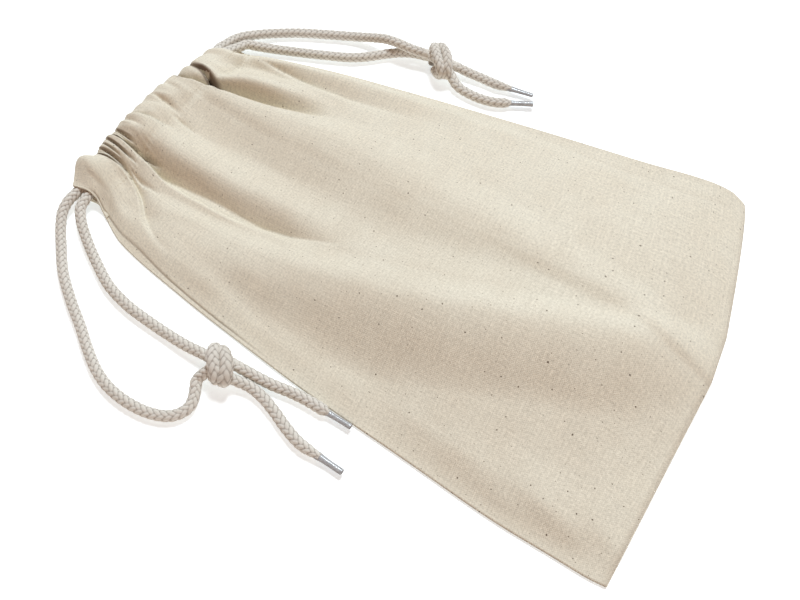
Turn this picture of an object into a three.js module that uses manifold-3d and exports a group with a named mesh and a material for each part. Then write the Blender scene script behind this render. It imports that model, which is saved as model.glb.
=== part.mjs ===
// Cotton drawstring bag, lying on its back with the mouth drawn in on two braided cords.
// Millimetres, +Z up. The cloth lies on z = 0, the mouth points along +Y, the bottom fold along -Y.
// The side that carries the long looped cord is at -X and is called near, the other one far.

import * as THREE from 'three';
import { mergeVertices } from 'three/addons/utils/BufferGeometryUtils.js';
import Module from 'manifold-3d';

const wasm = await Module();
wasm.setup();

// Driving sizes
const CORD = 6; // diameter of the braided cord
const CORD_SIDES = 8;
const CORD_STEP = 9; // length between sections of a cord
const GAP = 0.3; // clearance between pieces that touch
const WELD = 0.01; // slivers thinner than this are closed up after cutting
const CLOTH = 1.5; // one layer of cloth
const MOUTH_HEM = 3.6; // rolled and gathered hem of the front, at the mouth
const BACK_HEM = 2.6; // the same on the back
const CASING = 22; // depth of the hem that the cords run in
const EDGE = 2; // height of the sewn sides, two layers lying on each other
const AIR = 1.6; // the front stands off by this even where it lies flat
const COLUMNS = 80; // facets across the front
const ROWS = 44; // facets from the bottom fold to the mouth
const ROW_CROWDING = 1.5; // above 1 the rows crowd towards the mouth

// Bottom fold: pushed out of line where the main crease reaches it
const BOW = { depth: 13.2, nearRun: 0.5, farRun: 0.385, farPower: 0.75, reach: 0.3 };
// Mouth edge: a shallow wave, over the push that MOUTH_PUSH gives
const MOUTH_EDGE = { wave: 2.6, pitch: 58, reach: 0.12, endRun: 0.15 };
// Roll of the casing, and the open casing ends that the cords come out of
const ROLL = { rise: 2.5, lipDrop: 2, lipFrom: 0.8 };
const CASING_ENDS = { from: 0.93, to: 0.975, nearRise: 9, nearRun: 16, farRise: 5, farRun: 14 };
// The front comes down to the sewn sides and the bottom fold over these distances
const FALL = { near: 18, far: 14, bottom: 45, bottomKeep: 0.55, power: 0.8 };
const FOLD_FADE = 14; // a fold dies out over this length past its last station
// Hollow of the bag: where it starts, and how coarsely it follows the front
const HOLLOW = {
  columns: 24, rows: 26, near: 0.05, far: 0.95, bottom: 0.09, past: 0.03, margin: 5, least: 0.5,
};

/** Rows of numbers as records with named columns. */
function table(columns, ...rows) {
  return rows.map((row) => Object.fromEntries(columns.map((name, i) => [name, row[i]])));
}

// The two sewn sides, from the bottom fold to the mouth
const SIDES = table(['nearX', 'nearY', 'farX', 'farY'],
  [-115, -159, 108, -159],
  [-114.8, -151, 113.2, -151],
  [-112.8, -135, 114.9, -135],
  [-108.5, -102, 112.3, -102],
  [-99, -53, 109.5, -53],
  [-89, 0, 106, -2],
  [-79.5, 41, 103, 36],
  [-68, 86, 98.7, 81],
  [-54.5, 129, 92, 123],
  [-42.6, 148, 88, 136],
  [-38.8, 154, 86.4, 139.8],
  [-39.2, 167, 83, 148]);

// How far the gathers push the mouth edge out, from the near side (0) to the far side (1)
const MOUTH_PUSH = table(['share', 'push'],
  [0, 0],
  [0.07, 3.6],
  [0.12, 3.8],
  [0.175, 2.2],
  [0.22, 3.6],
  [0.27, 4.4],
  [0.42, 1.6],
  [0.6, 0],
  [0.8, 0.4],
  [1, 0]);

// The facets follow the trough and the ridge: where their guide column lies between near and far side
const GUIDE_COLUMN = 0.3;
const GUIDE = table(['nearY', 'share'],
  [-159, 0.46],
  [-94, 0.45],
  [-22, 0.405],
  [18, 0.378],
  [42, 0.34],
  [63, 0.325],
  [98, 0.301],
  [133, 0.29],
  [148, 0.278],
  [167, 0.295]);

/** Stations of one fold, from the mouth down: its line, its rise and its width to each side. */
const stations = (...rows) => table(['x', 'y', 'rise', 'near', 'far'], ...rows);

const FOLDS = {
  // Air under the whole front, steeper towards the far side
  swell: {
    shape: 'flank',
    line: stations([31.5, 172, 9.2, 63, 51], [27, 123, 13, 56, 68], [16, 58, 15.4, 59, 92],
      [6, -2, 17.4, 75, 104.5], [-8, -62, 18.8, 90, 109.5], [-9, -117, 17, 85, 109],
      [-6, -152, 11.4, 67, 108], [0, -174, 7.2, 56, 104]),
  },
  // Bulk of the gathers behind the mouth
  gathers: {
    shape: 'dome',
    line: stations([18, 172, 10.5, 64, 64], [14, 148, 8.5, 62, 72], [5, 120, 3, 54, 72],
      [0, 94, 0, 50, 70]),
  },
  // Broad ridge from the near gathers to the bottom fold
  ridge: {
    shape: 'bell',
    line: stations([-29, 123, 2, 18, 9], [-33, 88, 5, 20, 11.5], [-36, 58, 8.2, 24, 16],
      [-38.5, 26, 10.9, 33, 21], [-36, -17, 9.7, 37.5, 23], [-30, -54, 9.4, 36.5, 22.5],
      [-20.5, -94, 9.5, 37.5, 23], [-8.5, -132, 7.4, 37, 24], [2, -162, 4.6, 30, 24]),
  },
  // Deep trough beside the ridge, with a sharp near lip
  trough: {
    shape: 'crease',
    line: stations([-3.5, 160, -3, 2.5, 8], [-6.5, 148, -6, 2.5, 9], [-9, 138, -7.4, 2.5, 11],
      [-12.5, 128, -8.4, 2.8, 13], [-14.5, 115, -8.6, 3, 14], [-16, 98, -8.4, 3.2, 15],
      [-17.5, 80, -7.8, 3.8, 15.5], [-17.5, 63, -6.6, 4.8, 16], [-17, 42, -3.6, 6.5, 15],
      [-13.5, 18, 0, 9, 12]),
  },
  // Shoulder above the trough
  brow: {
    shape: 'bell',
    line: stations([7, 152, 1, 12, 12], [3, 125, 3, 12, 15], [1, 95, 3.2, 13, 17],
      [-2, 65, 2.8, 13, 18], [-5, 40, 1.6, 13, 18], [-7, 16, 0, 13, 18]),
  },
  // Long shallow valley down the middle of the front
  valley: {
    shape: 'bell',
    line: stations([25, 158, -2.2, 22, 16.5], [18.5, 116, -6.4, 24.5, 22], [9, 68, -7.5, 25, 26],
      [3, -2, -5.5, 24, 22], [5.5, -52, -2.9, 18, 14], [8, -95, -0.7, 13, 8], [12.5, -128, 0, 10, 7]),
  },
  // Ridge from the far gathers that ends as a crease in the bottom fold
  crown: {
    shape: 'bell',
    line: stations([46, 148, 2.6, 7, 8], [44.5, 108, 3.4, 12, 8], [45, 63, 3.6, 18.5, 16],
      [37, -2, 3, 17.5, 21.5], [29, -47, 2.3, 14, 20], [20.5, -87, 2.2, 13, 18.5],
      [12.5, -122, 2.2, 9, 17], [3.5, -152, 2.2, 7, 17], [-2.5, -174, 1.8, 6, 17]),
  },
  // Tuck on the far side of the crown, under its lip
  gully: {
    shape: 'crease',
    line: stations([45, 152, -5, 2.6, 8], [47.4, 131, -10.5, 2.6, 9], [48.8, 118, -11.5, 2.6, 10.5],
      [50.2, 106, -11, 2.8, 12], [52.3, 93, -9, 3.2, 13], [55.5, 78, -5.4, 4.2, 14],
      [58.5, 64, -1.6, 6, 15], [60, 50, 0, 6, 13]),
  },
  // Small ridge that rises behind the tuck
  tuck: {
    shape: 'bell',
    line: stations([52.5, 133, 2.5, 6, 8], [56, 125, 5, 7, 10], [59, 118, 6.2, 8, 12],
      [61, 109, 6.2, 8.5, 13], [63.5, 95, 4.8, 9, 14], [66, 76, 2, 9, 14], [67, 62, 0, 9, 14]),
  },
  // Puff beside the far cord
  crest: {
    shape: 'bell',
    line: stations([78, 148, 4, 18.5, 8], [82.5, 119, 5.4, 8, 12.5], [79, 82, 1.6, 9, 24],
      [72, 43, 0, 12, 26]),
  },
  // Groove between the small ridge and the roll of the far side
  groove: {
    shape: 'crease',
    line: stations([81, 124, 0, 2.5, 4], [80.2, 115, -1.8, 2.5, 5], [79, 104, -2.8, 2.6, 7],
      [77, 85, -3, 3, 10], [76.5, 69, -2.2, 4, 12], [78, 45, -1, 6, 12], [80, 20, 0, 6, 12]),
  },
  // Roll of the far side, below its puff
  farRoll: {
    shape: 'bell',
    line: stations([86, 128, 0.4, 8.5, 8], [87, 108, 3.4, 9.5, 9], [88.5, 84, 5, 12.5, 9.5],
      [91, 58, 4.8, 15, 9.5], [94.5, 28, 3, 16.5, 8.5], [99, -4, 1.2, 17, 8.5], [103, -40, 0, 16, 8]),
  },
  // Bent crease at the near end of the gathers
  bend: {
    shape: 'crease',
    line: stations([-15.5, 160, -1.8, 2, 4], [-17, 150, -3.6, 2, 6], [-21, 142, -4, 2.2, 9],
      [-28, 133, -3.6, 2.5, 13], [-37, 125, -2.6, 3, 15], [-45.5, 114, -1.4, 4, 15],
      [-54, 96, 0, 5, 13]),
  },
  // Soft roll along the near side
  roll: {
    shape: 'bell',
    line: stations([-28.5, 172, 4.4, 16, 13], [-37, 153, 5.8, 14, 12], [-49, 134, 5.8, 11, 14],
      [-55.5, 110, 5, 11.5, 23], [-58.5, 86, 4.2, 13.5, 28], [-62, 41, 2.2, 18, 34],
      [-82, -12, 0.6, 15, 34], [-86, -92, 2.8, 26, 40], [-80, -142, 4.2, 36, 42],
      [-80, -164, 3.4, 34, 42]),
  },
};

// Pleats of the casing: place on the mouth edge, drift on the way in, depth, half widths and length
const PLEATS = table(['x', 'drift', 'depth', 'near', 'far', 'reach'],
  [-31, 2, 1.6, 4, 4, 8],
  [-22, -3, 2, 3, 3, 9],
  [-15, 0, 3.4, 2.6, 2.8, 13],
  [-8, -5, 3.6, 2.6, 2.8, 17],
  [-4.5, -1, 4.4, 2.6, 3, 24],
  [1, -3, 3.6, 2.8, 2.8, 13],
  [10, 3, 2.2, 4, 4, 12],
  [19, 5, 2.4, 4, 5, 18],
  [28, 2, 1.6, 4, 4, 10],
  [38, -6, 2.6, 4, 4, 14],
  [55, -4, 7, 4, 6, 30],
  [66, 4, 2.5, 4, 4, 13],
  [75, 3, 2, 4, 4, 10]);
const PLEAT_SHARPNESS = 1.5;
const PLEAT_SPREAD = 0.35; // a pleat widens by this share towards its inner end

// Cord routes on the middle line of each cord: x, y, z
const NEAR_OUTER = [
  [-40.4, 164.6, 7.2], [-46.5, 165.9, 6.7], [-53.5, 165.2, 5.6], [-61, 161.5, 4.2], [-69, 156, 3.2],
  [-83, 145, 3.1], [-95.5, 131.5, 3.1], [-105.5, 119, 3.1], [-115, 108, 3.1], [-122.5, 98, 3.1],
  [-127.5, 88, 3.1], [-130.5, 75, 3.1], [-130.5, 61.5, 3.1], [-127, 51.8, 3.1], [-120.5, 47.4, 3.1],
  [-114.5, 48, 3.2], [-110.5, 49.5, 3.7]];
const NEAR_INNER = [
  [-40, 158.5, 6.6], [-46.8, 158.1, 6], [-53, 154, 4.9], [-61.5, 145, 3.6], [-71.5, 132, 3.1],
  [-80, 119, 3.1], [-85.5, 105, 3.1], [-88.7, 91, 3.1], [-91.3, 76, 3.2], [-93, 65, 4.2],
  [-93.8, 55, 5.6]];
const NEAR_TAIL_A = [
  [-92.8, 34, 5.6], [-93, 27, 4.4], [-93.2, 18, 3.3], [-92.8, 8, 3.1], [-93.2, -2, 3.1],
  [-94.6, -12.5, 3.1]];
const NEAR_TAIL_B = [
  [-99.2, 34.5, 4.8], [-98.8, 26.5, 3.6], [-101, 18, 3.1], [-105, 9.5, 3.1], [-110, 0.5, 3.1],
  [-114, -9, 3.1], [-115.7, -19, 3.1]];
const FAR_UPPER = [
  [85.9, 147.4, 7.3], [91, 145.6, 6.8], [96.4, 142.8, 5.8], [103.4, 136.2, 4.2], [109.8, 127.4, 3.2],
  [116.2, 114.8, 3.1], [121.5, 101, 3.1], [126.5, 86, 3.4], [128.6, 74, 5.6], [128.5, 63.5, 9],
  [127.6, 54.5, 10.2], [127.5, 46, 9.4], [128.2, 39, 8.8]];
const FAR_LOWER = [
  [89.3, 139.3, 5.9], [92.8, 137.4, 5.2], [95.2, 131.4, 4.2], [98.4, 121.6, 3.2], [102.8, 106, 3.1],
  [107.6, 90, 3.1], [112, 77.5, 3.1], [117.2, 68.5, 3.1], [122.8, 61, 3.1], [127.6, 53.5, 3.1],
  [130.4, 46.5, 3.1], [131.4, 39.5, 3.2]];
const FAR_TAIL_A = [
  [129.6, 18, 5.2], [129.6, 10, 3.9], [129.4, 1, 3.2], [128.8, -7.5, 3.1], [129.2, -15, 3.1]];
const FAR_TAIL_B = [
  [122.6, 19, 4.6], [117.8, 12.6, 3.4], [115.6, 4.5, 3.1], [115, -4, 3.1], [116, -11.5, 3.1],
  [118.8, -18.5, 3.1]];

// Knots: two cords pass through and each wraps once round both. The heading is in degrees from +X.
const KNOTS = {
  near: { centre: [-96.3, 44], heading: -86, lean: 2.6 },
  far: { centre: [129, 28.5], heading: -66, lean: 0.6 },
};
const WRAP = { across: 7.3, up: 4.7, pitch: 6.2, turn: 330, startAngle: -75, steps: 22 };
const KNOT_CORD = { lead: 4, apart: 2.4, rise: 1.6, steps: 8 };
const KNOT_CORE = { along: 8, across: 8, up: 5, sides: 12, rings: 8 };
const KNOT_HEIGHT = WRAP.up + CORD / 2 + GAP;
// Tips: the braid is crimped into a thin hard end
const TIP = { collar: 2.85, neck: 1.6, taper: 3.6, width: 1.45, length: 14, flat: 0.75, sides: 12 };

const CLOTH_FINISH = { color: 0xe2dbc8, roughness: 0.95, metalness: 0 };
const CORD_FINISH = { color: 0xd9cfc2, roughness: 0.9, metalness: 0 };
const TIP_FINISH = { color: 0x9c9da1, roughness: 0.35, metalness: 0 };

/** Rises smoothly from 0 at a to 1 at b. */
const ease = (a, b, t) => THREE.MathUtils.smoothstep(t, a, b);

/** Smooth value of one column of a table at a place along another column, which may run up or down. */
function along(rows, placeName, valueName, place) {
  const sorted = rows[0][placeName] < rows.at(-1)[placeName] ? rows : [...rows].reverse();
  const places = sorted.map((row) => row[placeName]);
  const values = sorted.map((row) => row[valueName]);
  const last = places.length - 1;
  const t = THREE.MathUtils.clamp(place, places[0], places[last]);
  const i = Math.min(Math.max(places.findIndex((p) => p > t) - 1, 0), last - 1);
  const k = t >= places[last] ? last - 1 : i;
  const slope = (n) => {
    const before = Math.max(n - 1, 0);
    const after = Math.min(n + 1, last);
    return (values[after] - values[before]) / (places[after] - places[before]);
  };
  const run = places[k + 1] - places[k];
  const u = (t - places[k]) / run;
  const start = values[k] + (values[k] * 2 + slope(k) * run) * u;
  const end = values[k + 1] + (values[k + 1] * 2 - slope(k + 1) * run) * (1 - u);
  return start * (1 - u) ** 2 + end * u ** 2;
}

/** Share of a fold's rise at a distance from its line, given as a share of its width. */
function foldShare(shape, distance) {
  const q = Math.min(Math.abs(distance), 1);
  if (shape === 'crease') return (1 - q) ** 2;
  if (shape === 'dome') return 1 - q ** 2;
  if (shape === 'flank' && distance > 0) return 1 - q ** 1.6;
  return (1 - q ** 2) ** 2;
}

/** Height that one fold adds at a place. */
function foldHeight({ shape, line }, x, y) {
  const at = (name) => along(line, 'y', name, y);
  const offset = x - at('x');
  const width = offset < 0 ? at('near') : at('far');
  const mouthEnd = line[0].y;
  const bottomEnd = line.at(-1).y;
  const fade = ease(bottomEnd - FOLD_FADE, bottomEnd, y) * (1 - ease(mouthEnd, mouthEnd + FOLD_FADE, y));
  return at('rise') * foldShare(shape, offset / width) * fade;
}

/** Plan position on the bag: s runs 0 to 1 from near to far side, v 0 to 1 from bottom fold to mouth. */
function planPoint(s, v) {
  const nearY = THREE.MathUtils.lerp(SIDES[0].nearY, SIDES.at(-1).nearY, v);
  const nearX = along(SIDES, 'nearY', 'nearX', nearY);
  const farX = along(SIDES, 'nearY', 'farX', nearY);
  const farY = along(SIDES, 'nearY', 'farY', nearY);
  const x = THREE.MathUtils.lerp(nearX, farX, s);
  const farShare = Math.max((1 - s) / BOW.farRun, 0) ** BOW.farPower;
  const bow = BOW.depth * Math.min(1, s / BOW.nearRun, farShare) * (1 - ease(0, BOW.reach, v));
  const ends = ease(0, MOUTH_EDGE.endRun, s) * ease(0, MOUTH_EDGE.endRun, 1 - s);
  const wave = MOUTH_EDGE.wave * Math.sin(Math.PI * x / MOUTH_EDGE.pitch) ** 2 * ends;
  const push = along(MOUTH_PUSH, 'share', 'push', s);
  const mouth = (wave + push) * ease(1 - MOUTH_EDGE.reach, 1, v);
  const y = THREE.MathUtils.lerp(nearY, farY, s) - bow + mouth;
  return { x, y, fromNear: x - nearX, fromFar: farX - x };
}

/** Depth of the pleats at a place x that lies a distance inside the mouth edge. */
function pleatDepth(x, inside) {
  const depths = PLEATS.filter((pleat) => inside < pleat.reach).map((pleat) => {
    const u = Math.max(inside, 0) / pleat.reach;
    const offset = x - pleat.x - pleat.drift * u;
    const width = (offset < 0 ? pleat.near : pleat.far) / (1 - PLEAT_SPREAD * u);
    return pleat.depth * Math.max(1 - Math.abs(offset) / width, 0) ** PLEAT_SHARPNESS * (1 - u ** 2);
  });
  return depths.reduce((sum, depth) => sum + depth, 0);
}

/** Point on the outside of the front of the bag. */
function frontPoint(s, v) {
  const { x, y, fromNear, fromFar } = planPoint(s, v);
  const inside = planPoint(s, 1).y - y;
  const roll = THREE.MathUtils.clamp(1 - inside / CASING, 0, 1);
  const lip = Math.max(roll - ROLL.lipFrom, 0) / (1 - ROLL.lipFrom);
  const folds = Object.values(FOLDS).reduce((sum, fold) => sum + foldHeight(fold, x, y), 0);
  const casing = ROLL.rise * Math.sin(Math.PI * roll) - ROLL.lipDrop * lip ** 2;
  const rise = Math.max(folds + casing - pleatDepth(x, inside), 0);
  const sides = (ease(0, FALL.near, fromNear) * ease(0, FALL.far, fromFar)) ** FALL.power;
  const bottom = ease(0, FALL.bottom, y - planPoint(s, 0).y) ** FALL.power;
  const fall = sides * THREE.MathUtils.lerp(FALL.bottomKeep, 1, bottom);
  const nearEnd = CASING_ENDS.nearRise * Math.exp(-((fromNear / CASING_ENDS.nearRun) ** 2));
  const farEnd = CASING_ENDS.farRise * Math.exp(-((fromFar / CASING_ENDS.farRun) ** 2));
  const edge = EDGE + ease(CASING_ENDS.from, CASING_ENDS.to, v) * (nearEnd + farEnd);
  return new THREE.Vector3(x, y, edge + (AIR + rise) * fall);
}

/** Share of the width at which a column of facets lies. */
function columnShare(column, v) {
  const guide = along(GUIDE, 'nearY', 'share', THREE.MathUtils.lerp(SIDES[0].nearY, SIDES.at(-1).nearY, v));
  if (column < GUIDE_COLUMN) return guide * column / GUIDE_COLUMN;
  return THREE.MathUtils.mapLinear(column, GUIDE_COLUMN, 1, guide, 1);
}

/** Rows of points over the front, from the bottom fold to the mouth. */
function frontRows() {
  return Array.from({ length: ROWS + 1 }, (_, row) => {
    const v = 1 - (1 - row / ROWS) ** ROW_CROWDING;
    return Array.from({ length: COLUMNS + 1 }, (_, column) => (
      frontPoint(columnShare(column / COLUMNS, v), v)));
  });
}

/** Ceiling of the hollow: one layer below the lowest front near by, and lower still behind the mouth hem. */
function hollowRows() {
  const { columns, rows, near, far, bottom, past, margin, least } = HOLLOW;
  const span = SIDES.at(-1).nearY - SIDES[0].nearY;
  return Array.from({ length: rows + 1 }, (_, row) => {
    const v = THREE.MathUtils.lerp(bottom, 1 + past, row / rows);
    return Array.from({ length: columns + 1 }, (_, column) => {
      const s = THREE.MathUtils.lerp(near, far, column / columns);
      const inside = Math.min(v, 1);
      const { x, y } = planPoint(s, inside);
      const reach = [-1, 0, 1].flatMap((i) => [-1, 0, 1].map((j) => {
        const besideS = THREE.MathUtils.clamp(s + i * margin / (SIDES[0].farX - SIDES[0].nearX), 0, 1);
        const besideV = THREE.MathUtils.clamp(inside + j * margin / span, 0, 1);
        return frontPoint(besideS, besideV).z;
      }));
      const wall = THREE.MathUtils.lerp(CLOTH, MOUTH_HEM, ease(1 - 2 * CASING / span, 1 - CASING / span, v));
      const z = Math.max(Math.min(...reach) - wall, floorHeight(y) + least);
      return new THREE.Vector3(x, y + (v - inside) * span, z);
    });
  });
}

/** Inner face of the back of the bag, thicker towards the gathered mouth. */
function floorHeight(y) {
  const share = (y - SIDES[0].nearY) / (SIDES.at(-1).nearY - SIDES[0].nearY);
  return THREE.MathUtils.lerp(CLOTH, BACK_HEM, share);
}

/** Closed solid between rows of points and a plane floor below them. */
function solidOver(rows, floorOf) {
  const corners = [];
  const face = (...points) => points.forEach((p) => corners.push(p.x, p.y, p.z));
  const down = (p) => new THREE.Vector3(p.x, p.y, floorOf(p.y));
  const lastRow = rows.length - 1;
  const lastColumn = rows[0].length - 1;
  for (let i = 0; i < lastRow; i += 1) {
    for (let j = 0; j < lastColumn; j += 1) {
      const [a, b, c, d] = [rows[i][j], rows[i][j + 1], rows[i + 1][j + 1], rows[i + 1][j]];
      face(a, b, c);
      face(a, c, d);
    }
  }
  const rim = [
    ...rows[0].slice(0, lastColumn),
    ...rows.slice(0, lastRow).map((row) => row[lastColumn]),
    ...rows[lastRow].slice(1).reverse(),
    ...rows.slice(1).map((row) => row[0]).reverse(),
  ];
  rim.forEach((p, i) => {
    const q = rim[(i + 1) % rim.length];
    face(p, down(p), down(q));
    face(p, down(q), q);
  });
  const outline = rim.map((p) => new THREE.Vector2(p.x, p.y));
  THREE.ShapeUtils.triangulateShape(outline, []).forEach(([a, b, c]) => {
    face(down(rim[c]), down(rim[b]), down(rim[a]));
  });
  const geometry = new THREE.BufferGeometry();
  geometry.setAttribute('position', new THREE.Float32BufferAttribute(corners, 3));
  return geometry;
}

/** The same surface as a solid that can be joined and cut. */
function toManifold(geometry) {
  const bare = geometry.clone();
  bare.deleteAttribute('normal');
  bare.deleteAttribute('uv');
  const merged = mergeVertices(bare);
  return new wasm.Manifold(new wasm.Mesh({
    numProp: 3,
    vertProperties: Float32Array.from(merged.attributes.position.array),
    triVerts: Uint32Array.from(merged.index.array),
  }));
}

/** A joined or cut solid as a geometry again. */
function toGeometry(manifold) {
  const mesh = manifold.simplify(WELD).getMesh();
  const geometry = new THREE.BufferGeometry();
  geometry.setAttribute('position', new THREE.Float32BufferAttribute(mesh.vertProperties, 3));
  geometry.setIndex(new THREE.Uint32BufferAttribute(mesh.triVerts, 1));
  geometry.computeVertexNormals();
  return geometry;
}

/** A named piece. */
function piece(name, geometry, finish) {
  const mesh = new THREE.Mesh(geometry, new THREE.MeshStandardMaterial(finish));
  mesh.name = name;
  return mesh;
}

const vectors = (route) => route.map((point) => new THREE.Vector3(...point));

/** Tube of cord along points, cut square at both ends. */
function cordTube(points, steps) {
  const curve = new THREE.CatmullRomCurve3(points, false, 'centripetal');
  const corner = (i) => 2 * Math.PI * (i + 0.5) / CORD_SIDES;
  const section = new THREE.Shape(Array.from({ length: CORD_SIDES }, (_, i) => (
    new THREE.Vector2(Math.cos(corner(i)), Math.sin(corner(i))).multiplyScalar(CORD / 2))));
  const count = steps ?? Math.ceil(curve.getLength() / CORD_STEP);
  return new THREE.ExtrudeGeometry(section, { steps: count, bevelEnabled: false, extrudePath: curve });
}

/** Direction from one point to the next. */
const heading = (from, to) => to.clone().sub(from).normalize();

/** Free stretch of cord, drawn back by a clearance at its last point. */
function freeCord(route) {
  const points = vectors(route);
  const [before, end] = points.slice(-2);
  end.addScaledVector(heading(before, end), -GAP);
  return cordTube(points);
}

/** Wrap of one cord round both cords of a knot, open on the underside. */
function knotWrap(centre, axis, offset, lean) {
  const across = new THREE.Vector3(-axis.y, axis.x, 0);
  const points = Array.from({ length: WRAP.steps + 1 }, (_, i) => {
    const angle = THREE.MathUtils.degToRad(WRAP.startAngle + WRAP.turn * i / WRAP.steps);
    return centre.clone()
      .addScaledVector(axis, offset + lean * Math.sin(angle))
      .addScaledVector(across, WRAP.across * Math.cos(angle))
      .setZ(KNOT_HEIGHT + WRAP.up * Math.sin(angle));
  });
  return cordTube(points, WRAP.steps);
}

/** Cord drawn tight inside a knot, so that it is solid. */
function knotCore(centre, axis) {
  const geometry = new THREE.SphereGeometry(1, KNOT_CORE.sides, KNOT_CORE.rings);
  geometry.scale(KNOT_CORE.along, KNOT_CORE.across, KNOT_CORE.up);
  geometry.rotateZ(Math.atan2(axis.y, axis.x));
  geometry.translate(centre.x, centre.y, KNOT_HEIGHT);
  return geometry;
}

/** Cord through a knot, from the end of a strand to the start of a tail. */
function knotCord(strand, tail, middle) {
  const [before, start] = vectors(strand.slice(-2));
  const [end, after] = vectors(tail.slice(0, 2));
  const inward = heading(before, start);
  const outward = heading(end, after);
  end.addScaledVector(outward, -GAP);
  return cordTube([
    start,
    start.clone().addScaledVector(inward, KNOT_CORD.lead),
    middle,
    end.clone().addScaledVector(outward, -KNOT_CORD.lead),
    end,
  ], KNOT_CORD.steps);
}

/** Knot that two cords enter at the ends of two strands and leave at the starts of two tails. */
function knot(place, strands, tails) {
  const centre = new THREE.Vector3(...place.centre, 0);
  const turn = THREE.MathUtils.degToRad(place.heading);
  const axis = new THREE.Vector3(Math.cos(turn), Math.sin(turn), 0);
  const across = new THREE.Vector3(-axis.y, axis.x, 0);
  const cords = [-1, 1].map((side, i) => {
    const middle = centre.clone().addScaledVector(across, side * KNOT_CORD.apart);
    return knotCord(strands[i], tails[i], middle.setZ(KNOT_HEIGHT + KNOT_CORD.rise));
  });
  const wraps = [-1, 1].map((side) => knotWrap(centre, axis, side * WRAP.pitch / 2, place.lean));
  const solids = [...cords, ...wraps, knotCore(centre, axis)].map(toManifold);
  return toGeometry(solids.reduce((whole, solid) => whole.add(solid)));
}

/** Crimped tip past the end of a tail, lying on the table. */
function tip(tail) {
  const [before, end] = vectors(tail.slice(-2));
  const direction = heading(before.setZ(end.z), end);
  const profile = [
    [0, 0], [TIP.collar, 0], [TIP.collar, 0.8], [TIP.neck, TIP.taper], [TIP.width, TIP.taper + 1],
    [TIP.width, TIP.length], [0, TIP.length],
  ].map(([radius, height]) => new THREE.Vector2(radius, height));
  const geometry = new THREE.LatheGeometry(profile, TIP.sides);
  geometry.scale(1, 1, TIP.flat);
  const start = end.addScaledVector(direction, GAP);
  const turn = Math.atan2(direction.y, direction.x) - Math.PI / 2;
  geometry.rotateZ(turn);
  geometry.translate(start.x, start.y, start.z);
  return geometry;
}

/** One cord with its two strands, its knot, its two tails and their tips. */
function tiedCord(side, strands, tails) {
  const cord = new THREE.Group();
  Object.entries(strands).forEach(([name, route]) => {
    cord.add(piece(`${side}_strand_${name}`, freeCord(route), CORD_FINISH));
  });
  const tied = knot(KNOTS[side], Object.values(strands), Object.values(tails));
  cord.add(piece(`${side}_knot`, tied, CORD_FINISH));
  Object.entries(tails).forEach(([name, route]) => {
    cord.add(piece(`${side}_tail_${name}`, cordTube(vectors(route)), CORD_FINISH));
    cord.add(piece(`${side}_tip_${name}`, tip(route), TIP_FINISH));
  });
  return cord;
}

/** The cloth: front and back in one, hollow, open at the gathered mouth. */
function clothBag() {
  const outside = toManifold(solidOver(frontRows(), () => 0));
  const hollow = toManifold(solidOver(hollowRows(), floorHeight));
  return piece('bag', toGeometry(outside.subtract(hollow)), CLOTH_FINISH);
}

const bag = new THREE.Group();
bag.add(clothBag());
bag.add(tiedCord('near', { outer: NEAR_OUTER, inner: NEAR_INNER }, { b: NEAR_TAIL_B, a: NEAR_TAIL_A }));
bag.add(tiedCord('far', { upper: FAR_UPPER, lower: FAR_LOWER }, { b: FAR_TAIL_B, a: FAR_TAIL_A }));

export default bag;
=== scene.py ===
"""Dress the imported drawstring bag: gathered cotton cloth, two tied braided cords and their crimped tips.

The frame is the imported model's: metres, +Z up, the bag lies on z = 0 with its mouth towards +Y. The side at
-X is called near and the one at +X far. The cloth's and the cords' own sizes and tables are in millimetres.
"""

from __future__ import annotations

import logging
import math
import sys
from dataclasses import dataclass, field
from enum import Enum
from typing import Callable, Sequence

import bpy
import numpy as np
from mathutils import Matrix, Vector

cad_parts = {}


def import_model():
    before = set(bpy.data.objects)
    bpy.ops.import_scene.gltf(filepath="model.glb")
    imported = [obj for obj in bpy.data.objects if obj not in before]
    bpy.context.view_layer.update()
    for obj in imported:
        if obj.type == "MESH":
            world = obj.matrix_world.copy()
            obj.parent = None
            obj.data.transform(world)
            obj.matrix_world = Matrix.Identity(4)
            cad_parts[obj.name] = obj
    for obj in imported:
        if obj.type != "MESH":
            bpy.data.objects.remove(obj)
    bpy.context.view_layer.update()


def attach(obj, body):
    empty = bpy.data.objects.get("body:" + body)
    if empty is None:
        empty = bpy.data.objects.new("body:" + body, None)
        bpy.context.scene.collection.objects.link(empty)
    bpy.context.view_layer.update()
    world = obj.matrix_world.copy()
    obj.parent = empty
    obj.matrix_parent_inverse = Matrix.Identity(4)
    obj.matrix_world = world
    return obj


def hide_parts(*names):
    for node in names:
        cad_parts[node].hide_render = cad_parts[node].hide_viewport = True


log = logging.getLogger("drawstring_bag")

Array = np.ndarray
Point = tuple[float, float, float]
Colour = tuple[float, float, float, float]
Spread = tuple[float, float, float, float]
Span = tuple[float, float]
Inputs = dict[str | int, object]
Piece = bpy.types.Object
Socket = bpy.types.NodeSocket

MM = 0.001
BODY = "root"
UP = np.array([0.0, 0.0, 1.0])


# Shared helpers


def ease(start: float, end: float, place: Array) -> Array:
    """Rise smoothly from 0 at start to 1 at end."""
    u = np.clip((place - start) / (end - start), 0.0, 1.0)
    return u * u * (3.0 - 2.0 * u)


def unit(vectors: Array) -> Array:
    """Scale each vector to length 1."""
    return vectors / np.linalg.norm(vectors, axis=-1, keepdims=True)


def run_along(line: Array) -> Array:
    """Give the distance of each point of a line from its start."""
    return np.concatenate([[0.0], np.cumsum(np.linalg.norm(np.diff(line, axis=0), axis=1))])


def past_end(line: Array, reach: float) -> Array:
    """Give the place straight on from a line's last point."""
    return line[-1] + unit(line[-1] - line[-2]) * reach


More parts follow.
